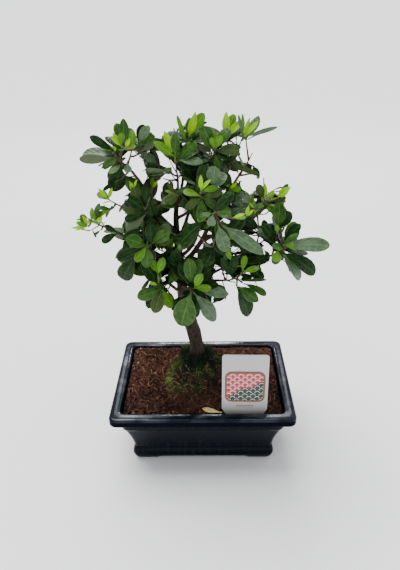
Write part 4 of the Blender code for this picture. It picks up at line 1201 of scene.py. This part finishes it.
# For each spray: its heart on the photo, its depth y, its first and last way on the photo, then its
# leaves, their length on the photo, their width against that, and their tones
sprays = {
    "upper_left": (
        (121, 147, -18, 135, 92, 3, 16, 0.50, "lime lime fresh"),
        (125, 149, -16, 14, 70, 2, 12, 0.50, "fresh lime"), (123, 146, -12, 102, 84, 2, 27, 0.42, "mid"),
        (114, 151, -13, 149, 149, 1, 31, 0.42, "deep"), (116, 153, -12, 177, 177, 1, 32, 0.38, "misty"),
        (112, 159, -11, 185, 185, 1, 30, 0.30, "under"), (121, 157, -15, 212, 212, 1, 22, 0.45, "mid"),
        (122, 165, -13, 258, 258, 1, 27, 0.56, "deep"), (127, 162, -15, 270, 270, 1, 11, 0.90, "misty"),
        (115, 182, -12, 216, 216, 1, 15, 0.30, "deep"),
        (138, 144, -2, 26, 74, 4, 20, 0.52, "mid misty misty deep"),
        (140, 152, -2, 330, 398, 2, 21, 0.50, "misty under"),
        (170, 171, -2, 170, 184, 2, 24, 0.22, "under olive"),
        (152, 189, -6, 60, 92, 2, 11, 0.42, "lime fresh"),
    ),
    "top_left": (
        (175, 151, -24, 106, 92, 2, 18, 0.26, "lime"),
        (175, 157, -20, 144, 84, 3, 26, 0.40, "fresh lime mid"),
        (178, 160, -20, 44, -53, 3, 27, 0.42, "mid misty deep"),
    ),
    "top": (
        (189, 137, -4, 78, 64, 2, 26, 0.40, "lime fresh"), (187, 145, -2, 103, 103, 1, 32, 0.15, "fresh"),
        (190, 143, 0, 14, -20, 2, 24, 0.28, "misty under"),
    ),
    "top_centre": (
        (216, 149, -26, 110, 70, 2, 14, 0.52, "fresh"),
        (214, 151, -20, 112, 0, 3, 25, 0.50, "mid mid olive"),
        (215, 154, -20, 340, 248, 3, 14, 0.62, "deep mid deep"),
        (226, 136, 0, 48, 84, 3, 25, 0.42, "lime fresh lime"),
    ),
    "top_right": (
        (243, 137, 0, 102, 92, 2, 26, 0.14, "misty fresh"), (244, 137, 0, 72, 46, 2, 23, 0.27, "lime"),
        (245, 137, 0, 17, 17, 1, 36, 0.14, "misty"), (236, 151, 0, 302, 302, 1, 20, 0.15, "misty"),
        (226, 163, 0, 338, 338, 1, 37, 0.15, "olive"),
    ),
    "front_upper": (
        (201, 191, -64, 94, 12, 3, 16, 0.38, "lime lime fresh"),
        (202, 197, -60, 160, 376, 5, 22, 0.40, "fresh olive mid mid olive"),
        (212, 188, -56, 42, 112, 3, 20, 0.66, "misty misty deep"),
        (181, 194, -30, 200, 318, 2, 19, 0.62, "olive deep"),
    ),
    "right_shoulder": (
        (229, 190, -30, 46, 2, 2, 12, 0.46, "lime fresh"),
        (229, 203, -28, 28, 4, 2, 18, 0.50, "misty misty"), (242, 201, -24, 96, 254, 2, 14, 0.50, "deep"),
        (249, 206, -20, 100, 124, 2, 14, 0.50, "misty misty"),
    ),
    "front_centre": (
        (232, 218, -84, 15, 5, 2, 16, 0.38, "lime fresh"), (246, 217, -80, 75, 40, 2, 11, 0.40, "lime"),
        (215, 212, -82, 46, 4, 2, 17, 0.60, "deep mid"),
        (213, 213, -82, 265, 200, 2, 14, 0.62, "misty mid"),
        (218, 224, -84, 288, 288, 1, 32, 0.50, "misty"), (222, 225, -83, 327, 327, 1, 46, 0.27, "misty"),
        (205, 221, -64, 220, 220, 1, 34, 0.62, "deep"),
    ),
    "right_spur": (
        (264, 199, 0, 118, 80, 2, 15, 0.50, "olive lime"), (268, 199, 0, 54, 54, 1, 12, 0.66, "lime"),
        (277, 198, 0, 33, 33, 1, 16, 0.64, "lime"), (271, 204, 0, 22, 22, 1, 15, 0.34, "olive"),
        (266, 204, 0, 200, 300, 2, 9, 0.50, "fresh fresh"),
    ),
    "far_right": (
        (282, 245, -40, 29, 345, 2, 18, 0.34, "mid fresh"),
        (282, 245, -36, 354, 354, 1, 46, 0.33, "misty"),
        (281, 252, -36, 305, 325, 2, 37, 0.36, "misty deep"),
        (278, 249, -38, 258, 258, 1, 15, 0.80, "fresh"), (268, 257, -28, 185, 185, 1, 29, 0.55, "deep"),
        (278, 229, -22, 85, 60, 2, 24, 0.56, "mid deep"), (284, 241, -28, 63, 46, 2, 22, 0.48, "mid deep"),
        (277, 234, -30, 88, 88, 1, 10, 0.60, "fresh"),
        (276, 245, -24, 133, 126, 2, 27, 0.38, "misty deep"),
        (259, 228, -16, 177, 150, 2, 21, 0.44, "deep"),
    ),
    "lower_right": (
        (242, 272, -46, 72, 14, 2, 18, 0.40, "fresh"), (240, 281, -47, 357, 357, 1, 27, 0.15, "olive"),
        (243, 283, -44, 339, 339, 1, 29, 0.36, "mid"), (237, 286, -46, 323, 289, 2, 29, 0.42, "mid deep"),
        (239, 280, -38, 20, 20, 1, 14, 0.55, "deep"), (231, 276, -38, 114, 78, 2, 22, 0.36, "deep"),
    ),
    "lower_centre": (
        (194, 288, -60, 62, -6, 2, 16, 0.44, "fresh"), (191, 293, -64, 256, 256, 1, 31, 0.56, "mid"),
        (193, 292, -58, 309, 309, 1, 33, 0.42, "misty"), (188, 291, -50, 245, 245, 1, 34, 0.42, "deep"),
        (196, 288, -54, 350, 350, 1, 32, 0.36, "misty"),
        (191, 285, -54, 116, 38, 4, 27, 0.42, "deep mid mid deep"),
        (215, 247, -50, 216, 240, 2, 21, 0.56, "deep"), (182, 267, -44, 120, 150, 2, 19, 0.44, "deep"),
    ),
    "lower_left": (
        (158, 274, -42, 166, 76, 3, 18, 0.46, "lime fresh fresh"),
        (162, 289, -39, 202, 300, 3, 24, 0.50, "mid olive fresh"),
        (159, 285, -41, 165, 165, 1, 10, 0.46, "lime"), (168, 284, -34, 67, 40, 2, 16, 0.54, "deep mid"),
    ),
    "left_middle": (
        (147, 246, -50, 156, 272, 4, 21, 0.58, "mid deep fresh mid"),
        (151, 244, -46, 96, 8, 4, 20, 0.50, "deep mid mid"),
        (137, 254, -44, 242, 305, 2, 30, 0.46, "deep"), (142, 246, -47, 205, 205, 1, 31, 0.26, "deep"),
        (173, 234, -40, 142, 223, 2, 15, 0.72, "under deep"),
    ),
    "left_shoulder": (
        (147, 212, -32, 137, 94, 2, 25, 0.50, "deep"),
        (146, 214, -32, 164, 218, 3, 25, 0.38, "olive deep under"),
        (150, 197, -34, 286, 262, 2, 21, 0.40, "deep"),
        (162, 204, -28, 250, 212, 2, 16, 0.50, "deep olive"),
        (159, 206, -28, 30, 10, 2, 19, 0.46, "misty mid"),
        (176, 194, -26, 160, 130, 2, 13, 0.38, "fresh olive"),
        (134, 188, -30, 124, 70, 2, 9, 0.34, "lime"),
    ),
    "left_shoot": (
        (108, 200, -25, 130, 72, 2, 15, 0.40, "lime"), (112, 209, -25, 171, 201, 2, 19, 0.34, "mid fresh"),
    ),
    "far_left": (
        (88, 226, -29, 182, 115, 4, 13, 0.44, "lime fresh mid lime"),
        (95, 222, -29, 100, 36, 3, 10, 0.40, "fresh olive lime"),
        (88, 227, -29, 184, 184, 1, 17, 0.26, "lime"), (101, 230, -27, 219, 219, 1, 10, 0.34, "mid"),
        (118, 233, -27, 148, 215, 2, 17, 0.42, "deep"),
    ),
}
sky = {  # where the photo shows sky through and round the crown: photo places and radii
    "inner": ("upperLeft", "left", "middle", "right", "farRight", "low"),
    "upperLeft": ((113, 154, 2.5), (150, 163.5, 2), (141.4, 178.8, 4), (131, 176.5, 3), (136.5, 185, 2.5)),
    "left": (
        (138, 208, 2), (128.5, 203, 2), (125, 218.5, 3), (113, 219, 3), (114, 197.6, 4), (119.6, 205, 3),
    ),
    "middle": ((171, 210.4, 4), (164.6, 219.4, 3.5), (183.4, 210, 4.5), (184.7, 219, 3), (196.5, 218, 3)),
    "right": (
        (235.4, 210.4, 3), (220, 217.6, 3), (235.8, 224, 3), (255.6, 205, 3), (266.8, 212.4, 4),
        (259, 220.4, 6),
    ),
    "farRight": ((284, 223, 2.5), (253.5, 237, 5), (262.6, 253, 3.5), (244, 248, 2.5), (236.8, 253, 3)),
    "low": (
        (208.8, 235, 3.5), (205, 241, 2), (220.8, 271, 3), (207, 264.7, 2.2), (217, 264, 2),
        (170.4, 285, 1.8),
    ),
    "bays": (
        (252, 151, 11), (243, 158, 4), (262, 164, 7), (250, 184, 9), (240, 177, 4), (270, 180, 9),
        (163, 127, 6), (212, 121, 5), (220, 115, 6), (171, 113, 9), (215, 107, 9), (272, 154, 18),
        (300, 200, 14), (316, 226, 14), (292, 300, 12), (229, 318, 6), (165, 326, 7), (128, 306, 14),
        (112, 288, 14), (84, 258, 16), (78, 200, 10), (88, 176, 8),
    ),
    # How far other leaves may show past the sprays, how much of an opening stays open, and the
    # shares of such a leaf that may lie past that, over an opening or over a spray
    "reach": 4, "openShare": 0.8, "mayStray": 0.05, "mayCross": 0.10, "mayCover": 0.08,
}


def twigStations(start, end, startWay, thick, thin):
    endWay = ((end - start).normalized() + Vector((0, 0, twig["rise"]))).normalized()
    places = sweep(start, startWay, end, endWay, twig["rings"])
    return [(p, thick + (thin - thick) * i / (twig["rings"] - 1)) for i, p in enumerate(places)]


def sideShoot(stations, share, azimuth, tilt, reach, thick):
    root, _, way = stationAt(stations, share)
    u = way.orthogonal().normalized()
    out = u * math.cos(azimuth) + way.cross(u) * math.sin(azimuth)
    heading = way * math.cos(tilt) + out * math.sin(tilt)
    return twigStations(root, root + heading * reach, heading, thick, twig["thin"])


def massSkeleton(name):  # the same shoots as the solid's
    parent, _, tip, lead, sides, turn, _ = crown[name]
    stations = limbs[name if tip else parent]
    way = (stations[-1][0] - stations[-2][0]).normalized()
    thick = min(twig["thick"], stations[-1][1])
    stem = twigStations(stations[-1][0] + way * bough["gap"], Vector(lead), way, thick, twig["thin"])
    shoots = [stem]
    rng = random.Random(name)
    low, high = twig["sideStart"]
    thick = twig["thick"] * twig["sideShare"]
    for i in range(sides):
        share = low + (high - low) * i / max(sides - 1, 1)
        tilt = math.radians(rng.uniform(*twig["sideTilt"]))
        azimuth = math.radians(turn + twig["goldenTurn"] * i)
        shoots.append(sideShoot(stem, share, azimuth, tilt, rng.uniform(*twig["sideReach"]), thick))
    return shoots


def massSpurs(name, stem):  # finer twigs that the solid leaves out
    rng = random.Random(name + " spurs")
    spurs = []
    onStem, onBough = twig["spurs"] if crown[name][6] > twig["smallMass"] else twig["fewSpurs"]
    parents = [(stem, rng.uniform(*twig["spurFrom"])) for _ in range(onStem)]
    if crown[name][2]:
        parents += [(limbs[name], rng.uniform(*twig["spurOnBough"])) for _ in range(onBough)]
    for stations, share in parents:
        tilt = math.radians(rng.uniform(*twig["spurTilt"]))
        azimuth, reach = rng.uniform(0, math.tau), rng.uniform(*twig["spurReach"])
        spurs.append(sideShoot(stations, share, azimuth, tilt, reach, twig["spurThick"]))
    return spurs


def leafTemplate():  # a closed blade: a top sheet with a midrib strip, an underside of two strips
    columns, rows = leaf["columns"], leaf["rows"]
    bm = bmesh.new()
    bmesh.ops.create_grid(bm, x_segments=len(columns) - 1, y_segments=len(rows) - 1, size=0.5)
    for vert in bm.verts:
        u = columns[round((vert.co.x + 0.5) * (len(columns) - 1))]
        v = rows[round((vert.co.y + 0.5) * (len(rows) - 1))]
        vert.co = (0.0 if v == 1.0 else u, v, 0.0)
    under = bmesh.ops.create_grid(bm, x_segments=2, y_segments=len(rows) - 1, size=0.5)["verts"]
    for vert in under:
        v = rows[round((vert.co.y + 0.5) * (len(rows) - 1))]
        middle = abs(vert.co.x) < 0.1
        vert.co = (0.0 if v == 1.0 else vert.co.x * 2, v, -1.0 if middle and v < 1.0 else 0.0)
    bmesh.ops.reverse_faces(bm, faces=[f for f in bm.faces if f.verts[0] in set(under)])
    bmesh.ops.remove_doubles(bm, verts=bm.verts, dist=1e-5)
    bmesh.ops.dissolve_degenerate(bm, edges=bm.edges, dist=1e-5)
    bmesh.ops.holes_fill(bm, edges=openEdges(bm), sides=0)
    marks = []
    for face in bm.faces:
        low = any(v.co.z < -0.5 for v in face.verts)
        rib = max(abs(v.co.x) for v in face.verts) < 0.1
        marks.append(2 if low else 1 if rib else 0)
    return *meshArrays(bm), marks


leafCorners, leafFaces, leafMarks = leafTemplate()
bladeFaces = [face for face in leafFaces if min(leafCorners[i][1] for i in face) > 0.2]


def sampleShares():  # how each sample point on a blade is mixed from the blade's corners
    rows = []
    for face in leafFaces:
        for corner in face:
            row = np.zeros(len(leafCorners))
            row[list(face)] += 0.5 / len(face)
            row[corner] += 0.5
            rows.append(row)
            rows.append(np.where(row > 0, 1.0 / len(face), 0.0))
    return np.array(rows)


def skinScale(length):  # short leaves are thinner
    return min(1.0, 0.4 + length / 50.0)


def leafPlaces(root, way, face, look):  # the blade's corner places, in mm
    u, v, low = leafCorners.T
    t = np.clip((v - leaf["stalkShare"]) / (1 - leaf["stalkShare"]), 0, 1)
    a, b = look["base"], look["blunt"]
    peak = (a / (a + b)) ** a * (b / (a + b)) ** b
    half = look["width"] / 2 * t ** a * (1 - t) ** b / peak
    half = np.maximum(half, leaf["stalkHalf"] * (1 - v) * look["scale"])
    x = u * half
    z = look["fold"] * np.abs(x) - look["dome"] * u * u * half + low * leaf["thick"] * look["scale"]
    z -= leaf["ribDeep"] * look["scale"] * (np.abs(u) < 0.2) * (low == 0)
    z += look["wave"] * half * u * np.abs(u) * np.sin(leaf["waves"] * v + look["phase"])
    twist = look["twist"] * v
    x, z = x * np.cos(twist) - z * np.sin(twist), x * np.sin(twist) + z * np.cos(twist)
    bend = look["bend"] if abs(look["bend"]) > 1e-3 else 1e-3
    y = look["length"] * np.sin(bend * v) / bend + z * np.sin(bend * v)
    z = look["length"] * (np.cos(bend * v) - 1) / bend + z * np.cos(bend * v)
    side = way.cross(face).normalized()
    up = side.cross(way).normalized()
    return np.array(root) + np.outer(x, side) + np.outer(y, way) + np.outer(z, up)


def leafLook(rng, length, young):
    wide = rng.uniform(*leaf["shape"]) * (leaf["youngNarrow"] if young else 1.0)
    look = {key: rng.uniform(*ends) for key, ends in leaf["look"].items()}
    if young:
        for key, more in leaf["youngLook"].items():
            look[key] += more
    return dict(look, length=length, width=length * wide, scale=skinScale(length))


def limbTreeFrom(names):
    verts, faces = [], []
    for name in names:
        mesh = bpy.data.objects[name].data
        faces += [[i + len(verts) for i in p.vertices] for p in mesh.polygons]
        verts += [v.co / mm for v in mesh.vertices]
    return BVHTree.FromPolygons(verts, faces)


bladeSamples = sampleShares()
limbTree = limbTreeFrom(("trunkWithBark", "boughsWithBark"))
grown = {tone: [] for tone in leafTones}  # corner places of every leaf, by tone
grownTrees = []  # search tree of every blade
boxLows, boxHighs = np.empty((2, leaf["mostLeaves"], 3))  # and the corners of its box
nearest = np.full((view["photoTall"], view["photoWide"]), np.inf)  # how far the sprays lie from the camera
mayShow = np.zeros(nearest.shape, bool)
openPlaces = np.zeros(nearest.shape, bool)
missed = []  # spray leaves that found no room


def photoCells(points):
    across, down, away = onPhoto(bladeSamples @ points)
    cols = np.clip(np.rint(across).astype(int), 0, view["photoWide"] - 1)
    rows = np.clip(np.rint(down).astype(int), 0, view["photoTall"] - 1)
    return rows, cols, away


def markSkyOut():  # other leaves may show near the sprays, but not in the open places
    tall, wide = nearest.shape
    shown = np.isfinite(nearest)
    reach = sky["reach"]
    for dy in range(-reach, reach + 1):
        for dx in range(-reach, reach + 1):
            if dx * dx + dy * dy <= reach * reach:
                mayShow[reach:tall - reach, reach:wide - reach] |= (
                    shown[reach + dy:tall - reach + dy, reach + dx:wide - reach + dx])
    ys, xs = np.mgrid[0:tall, 0:wide]
    for x, y, radius in sky["bays"]:
        mayShow[(xs - x) ** 2 + (ys - y) ** 2 <= radius * radius] = False
    for x, y, radius in sum((sky[region] for region in sky["inner"]), ()):
        openPlaces[(xs - x) ** 2 + (ys - y) ** 2 <= (radius * sky["openShare"]) ** 2] = True


def fitsPhoto(points):
    rows, cols, away = photoCells(points)
    if (~mayShow[rows, cols]).mean() > sky["mayStray"] or openPlaces[rows, cols].mean() > sky["mayCross"]:
        return False
    ahead = nearest[rows, cols]
    return (ahead > away + 1.0)[np.isfinite(ahead)].sum() <= sky["mayCover"] * len(rows)


def keptLeaf(points, tone):  # keeps the leaf where its blade meets no limb and no other blade
    tree = BVHTree.FromPolygons(points.tolist(), bladeFaces)
    if tree.overlap(limbTree):
        return False
    count = len(grownTrees)
    meets = np.all((boxLows[:count] <= points.max(0)) & (boxHighs[:count] >= points.min(0)), axis=1)
    if any(tree.overlap(grownTrees[i]) for i in np.flatnonzero(meets)):
        return False
    boxLows[count], boxHighs[count] = points.min(0), points.max(0)
    grownTrees.append(tree)
    grown[tone].append(points)
    return True


def growSpray(rng, row):
    heartX, heartY, depth, first, last, count, length, wide, tones = row
    tones = tones.split()
    for i in range(count):
        angle = first + (last - first) * (i / max(count - 1, 1)) + astray(rng, spray["stray"])
        across, rise = math.cos(math.radians(angle)), -math.sin(math.radians(angle))
        span = length * rng.uniform(*spray["spread"])
        tone = tones[i * len(tones) // count]
        slope, bend = rng.uniform(*spray["slope"]), rng.uniform(*spray["bend"])
        toward, lift = rng.uniform(*spray["toward"]), rng.uniform(*spray["lift"])
        roll = astray(rng, spray["roll"])
        look = leafLook(rng, 1.0, tone == "lime")
        for push in spray["pushes"]:
            y = depth + push
            root = photoPlace(heartX + across * spray["start"], heartY + rise * spray["start"], y)
            tip = photoPlace(heartX + across * span, heartY + rise * span, y + slope * span)
            chord = (tip - root).normalized()
            face = cameraPlace - np.array(root)
            face = Vector(face / np.linalg.norm(face)) * toward + Vector((0, 0, lift))
            face += chord.cross(face) * roll
            if tone == "under":
                face = -face
            up = (face - chord * face.dot(chord)).normalized()
            long = (tip - root).length * (bend / 2) / math.sin(bend / 2)
            broad = long * wide * (leaf["youngNarrow"] if tone == "lime" else 1.0)
            trial = dict(look, length=long, width=broad, bend=bend, scale=skinScale(long))
            points = leafPlaces(root, chord * math.cos(bend / 2) + up * math.sin(bend / 2), up, trial)
            if keptLeaf(points, "deep" if tone == "under" else tone):
                rows, cols, away = photoCells(points)
                np.minimum.at(nearest, (rows, cols), away)
                break
        else:
            missed.append((heartX, heartY, round(angle)))


def joinSpray(row, stems, brown, green):  # a thin twig from the nearest shoot to the spray's heart
    heart = photoPlace(*row[:3])
    near = min(stems, key=lambda p: (p - heart).length)
    gap = (heart - near).length
    if 1.0 < gap < spray["longestTwig"]:
        middle = near.lerp(heart, 0.5) - Vector((0, 0, gap * spray["twigSag"]))
        young = row[8].startswith("lime") and gap < spray["greenTwig"]
        radii = np.linspace(*spray["twigThick"], 6)
        (green if young else brown).append((through([near, middle, heart], 6), radii))


def addLeaf(rng, root, axis, azimuth, lean, length, tone, inside):
    u = axis.orthogonal().normalized()
    v = axis.cross(u)
    look = leafLook(rng, length, tone == "lime")
    roll = astray(rng, leaf["roll"])
    for extra, shrink in leaf["tests"]:
        angle = azimuth + math.radians(extra)
        out = u * math.cos(angle) + v * math.sin(angle)
        way = axis * math.cos(lean) + out * math.sin(lean)
        face = axis * leaf["alongShoot"] + Vector((0, 0, leaf["lift"])) + way.cross(axis) * roll
        trial = dict(look, length=look["length"] * shrink, width=look["width"] * shrink)
        points = leafPlaces(root, way, face, trial)
        if inside(points) and fitsPhoto(points) and keptLeaf(points, tone):
            return


def gained(key, fresh):
    atRest, more = youngShoot[key]
    return atRest + more * fresh


def growYoung(rng, tip, axis, fresh, size, green, inside):  # an upright green stem with small leaves
    long = rng.uniform(*youngShoot["long"]) * gained("longGain", fresh)
    sway = youngShoot["sway"]
    way = (axis + Vector((astray(rng, sway), astray(rng, sway), youngShoot["rise"]))).normalized()
    end = tip + way * long
    before = len(grownTrees)
    count = round(rng.uniform(*youngShoot["leaves"]) * gained("leavesGain", fresh))
    turn = rng.uniform(0, math.tau)
    (low, high), (small, big) = youngShoot["lean"], youngShoot["size"]
    for i in range(count):
        turn += math.radians(twig["goldenTurn"])
        share = i / max(count - 1, 1)
        lean = math.radians(high + (low - high) * share + astray(rng, youngShoot["leanStray"]))
        length = leaf["length"] * size * (big + (small - big) * share)
        length *= rng.uniform(*youngShoot["sizeSpread"])
        tone = "lime" if rng.random() < gained("limeGain", fresh) else "fresh"
        seat = end - way * (long * youngShoot["leafed"] * (1 - share))
        addLeaf(rng, seat, way, turn, lean, length, tone, inside)
    if len(grownTrees) > before:
        radii = [youngShoot["thick"] * share for share in youngShoot["taper"]]
        green.append(([tip - axis, tip.lerp(end, 0.5) + axis * youngShoot["bow"], end], radii))


def spaceOf(name, sites):  # tells whether points lie in the mass's own space
    site = np.array(sites[name])
    limits = []
    for other, place in sites.items():
        if other != name:
            way = place - sites[name]
            limits.append((np.array(way.normalized()), way.length / 2 + leaf["spaceSlack"]))
    return lambda points: all(((points - site) @ way).max() < limit for way, limit in limits)


def growMass(name, shoots, inside, brown, green):
    rng = random.Random(name + " foliage")
    size = crown[name][6]
    small, later = size < twig["smallMass"], name in sprays and size > twig["smallMass"]
    fresh = youth.get(name, youth["elsewhere"]) * (spray["laterYoung"] if later else 1.0)
    ranks = ("deep", "mid", "fresh")
    kinds = [("leading", s) for s in shoots] + [("spur", s) for s in massSpurs(name, shoots[0])]
    for kind, stations in kinds:
        slim = twig["slim"] * (twig["spurSlim"] if kind == "spur" else 1.0)
        shares = np.linspace(0, 1, twig["fineRings"])
        radii = [stationAt(stations, s)[1] * slim * (1.0 - twig["taper"] * s) for s in shares]
        before = len(grownTrees)
        tip = stations[-1][0]
        axis = (tip - stations[-2][0]).normalized()
        turn = rng.uniform(0, math.tau)
        for count, lean, share, below, tone in whorls[kind]:
            for _ in range(count // 2 if small else count):
                turn += math.radians(twig["goldenTurn"])
                rank = ranks.index(tone) + (rng.random() < fresh * leaf["youngerChance"])
                rank -= rng.random() < leaf["olderChance"]
                rank -= later and rng.random() < spray["laterDeep"]
                rank = min(max(rank + small, 0), 2)
                length = leaf["length"] * size * share * rng.uniform(*leaf["spread"])
                seat = tip - axis * (below + astray(rng, leaf["seatStray"]))
                tilt = math.radians(lean + astray(rng, leaf["leanStray"]))
                addLeaf(rng, seat, axis, turn, tilt, length, ranks[rank], inside)
        if rng.random() < (fresh * youngShoot["chance"] if kind == "spur" or name in sprays else 1.0):
            vigour = fresh * (1.0 if kind == "leading" else youngShoot["onSpur"])
            growYoung(rng, tip, axis, vigour, size, green, inside)
        if stations is shoots[0] or len(grownTrees) > before:  # no bare side twigs
            brown.append((alongStations(stations, twig["fineRings"]), radii))


def makeFoliage():
    skeletons = {name: massSkeleton(name) for name in crown}
    sites = {n: s[0][0][0].lerp(Vector(crown[n][3]), 0.75) for n, s in skeletons.items()}
    brown, green = [], []
    stems = [p for stations in limbs.values() for p in alongStations(stations, 40)]
    stems += [p for shoots in skeletons.values() for s in shoots for p in alongStations(s, 10)]
    rng = random.Random("sprays")
    for row in sorted((row for rows in sprays.values() for row in rows), key=lambda row: row[2]):
        growSpray(rng, row)
        joinSpray(row, stems, brown, green)
    print("spray leaves:", len(grownTrees), "without room:", missed)
    markSkyOut()
    for name, shoots in skeletons.items():
        growMass(name, shoots, spaceOf(name, sites), brown, green)
    bark = barkMaterial("twigBark", twig["bark"], twig["barkPale"], twig["young"], (1, 1, 1))
    finishPiece("twigs", strandMesh(brown, 1), [bark], (), 80.0)
    stem = mossy("youngStem", twig["young"], twig["youngPale"], 300.0, 0.5)
    finishPiece("youngStems", strandMesh(green, 1), [stem], (), 80.0)
    for tone, leaves in grown.items():
        mesh = meshOfCopies([p * mm for p in leaves], leafFaces, [leafMarks] * len(leaves))
        layLeafMap(mesh, len(leaves))
        masses = ["foliage_" + name for name in crown]
        finishPiece("leaves" + tone.capitalize(), mesh, leafMaterials(tone), masses, 75.0)
    print("leaves:", {tone: len(leaves) for tone, leaves in grown.items()})


def layLeafMap(mesh, count):  # across and along each blade
    spots = np.array([[leafCorners[i][0] * 0.5 + 0.5, leafCorners[i][1]] for face in leafFaces for i in face])
    layer = mesh.uv_layers.new(name="leafMap")
    layer.data.foreach_set("uv", np.tile(spots, (count, 1)).ravel())


def leafMaterials(tone):
    blade, second, rib, under, roughness, gloss = leafTones[tone]
    top = newMaterial(tone + "Blade", blade, roughness, Specular_IOR_Level=gloss)
    leafMap = addNode(top, "ShaderNodeUVMap", uv_map="leafMap")[0]
    across, along = addNode(top, "ShaderNodeSeparateXYZ", {0: leafMap})[:2]
    fromRib = reckon(top, "ABSOLUTE", reckon(top, "SUBTRACT", across, 0.5))
    slant = reckon(top, "MULTIPLY", fromRib, leaf["veinSlant"])
    rows = reckon(top, "MULTIPLY", along, leaf["veinRows"])
    veins = reckon(top, "SINE", reckon(top, "SUBTRACT", rows, slant))
    mottling = objectPattern(top, 210.0, detail=3.0)
    color = mixColor(top, steer(top, mottling, 0.34, 0.70), blade, second)
    color = mixColor(top, steer(top, veins, 0.72, 1.0, 0.0, 0.22), color, rib)
    feed(top, "Base Color", mixColor(top, steer(top, fromRib, 0.43, 0.485, 0.0, 0.40), color, under))
    feed(top, "Roughness", steer(top, mottling, 0.3, 0.7, roughness - 0.06, roughness + 0.12))
    quilt = objectPattern(top, 330.0, detail=2.0)
    addBump(top, reckon(top, "MULTIPLY_ADD", veins, 0.12, quilt), 0.6, 0.9)
    ribs = newMaterial(tone + "Rib", rib, roughness + 0.08, Specular_IOR_Level=gloss)
    low = newMaterial(tone + "Underside", under, 0.62, Specular_IOR_Level=0.15)
    return [top, mottle(ribs, rib, 260.0, 1.3), mottle(low, under, 260.0, 1.3)]


makeFoliage()
print("foliage made")


# A fallen leaf on the soil by the label

fallen = {
    "root": (222.0, 412.5), "tip": (203.0, 410.0), "height": 73.6,  # photo places of its two ends
    "look": {  # with angles in radians
        "width": 5.2, "scale": 0.8, "base": 1.3, "blunt": 0.8, "fold": 0.6, "dome": 0.1, "wave": 0.4,
        "phase": 1.0, "twist": 0.6, "bend": -0.3,
    },
    "stretch": 1.05, "face": (0, -0.35, 1),
    "tone": (0.46, 0.42, 0.10), "rib": (0.58, 0.50, 0.22),
}


def makeFallenLeaf():
    root, tip = (photoPlace(*fallen[end], fallen["height"], axis=2) for end in ("root", "tip"))
    look = dict(fallen["look"], length=(tip - root).length * fallen["stretch"])
    points = leafPlaces(root, (tip - root).normalized(), Vector(fallen["face"]), look)
    blade = mossy("fallenBlade", fallen["tone"], fallen["rib"], 300.0, 0.5)
    rib = newMaterial("fallenRib", fallen["rib"], 0.6)
    mesh = meshOfCopies([points * mm], leafFaces, [leafMarks])
    finishPiece("fallenLeaf", mesh, [blade, rib, blade], (), 75.0)


makeFallenLeaf()
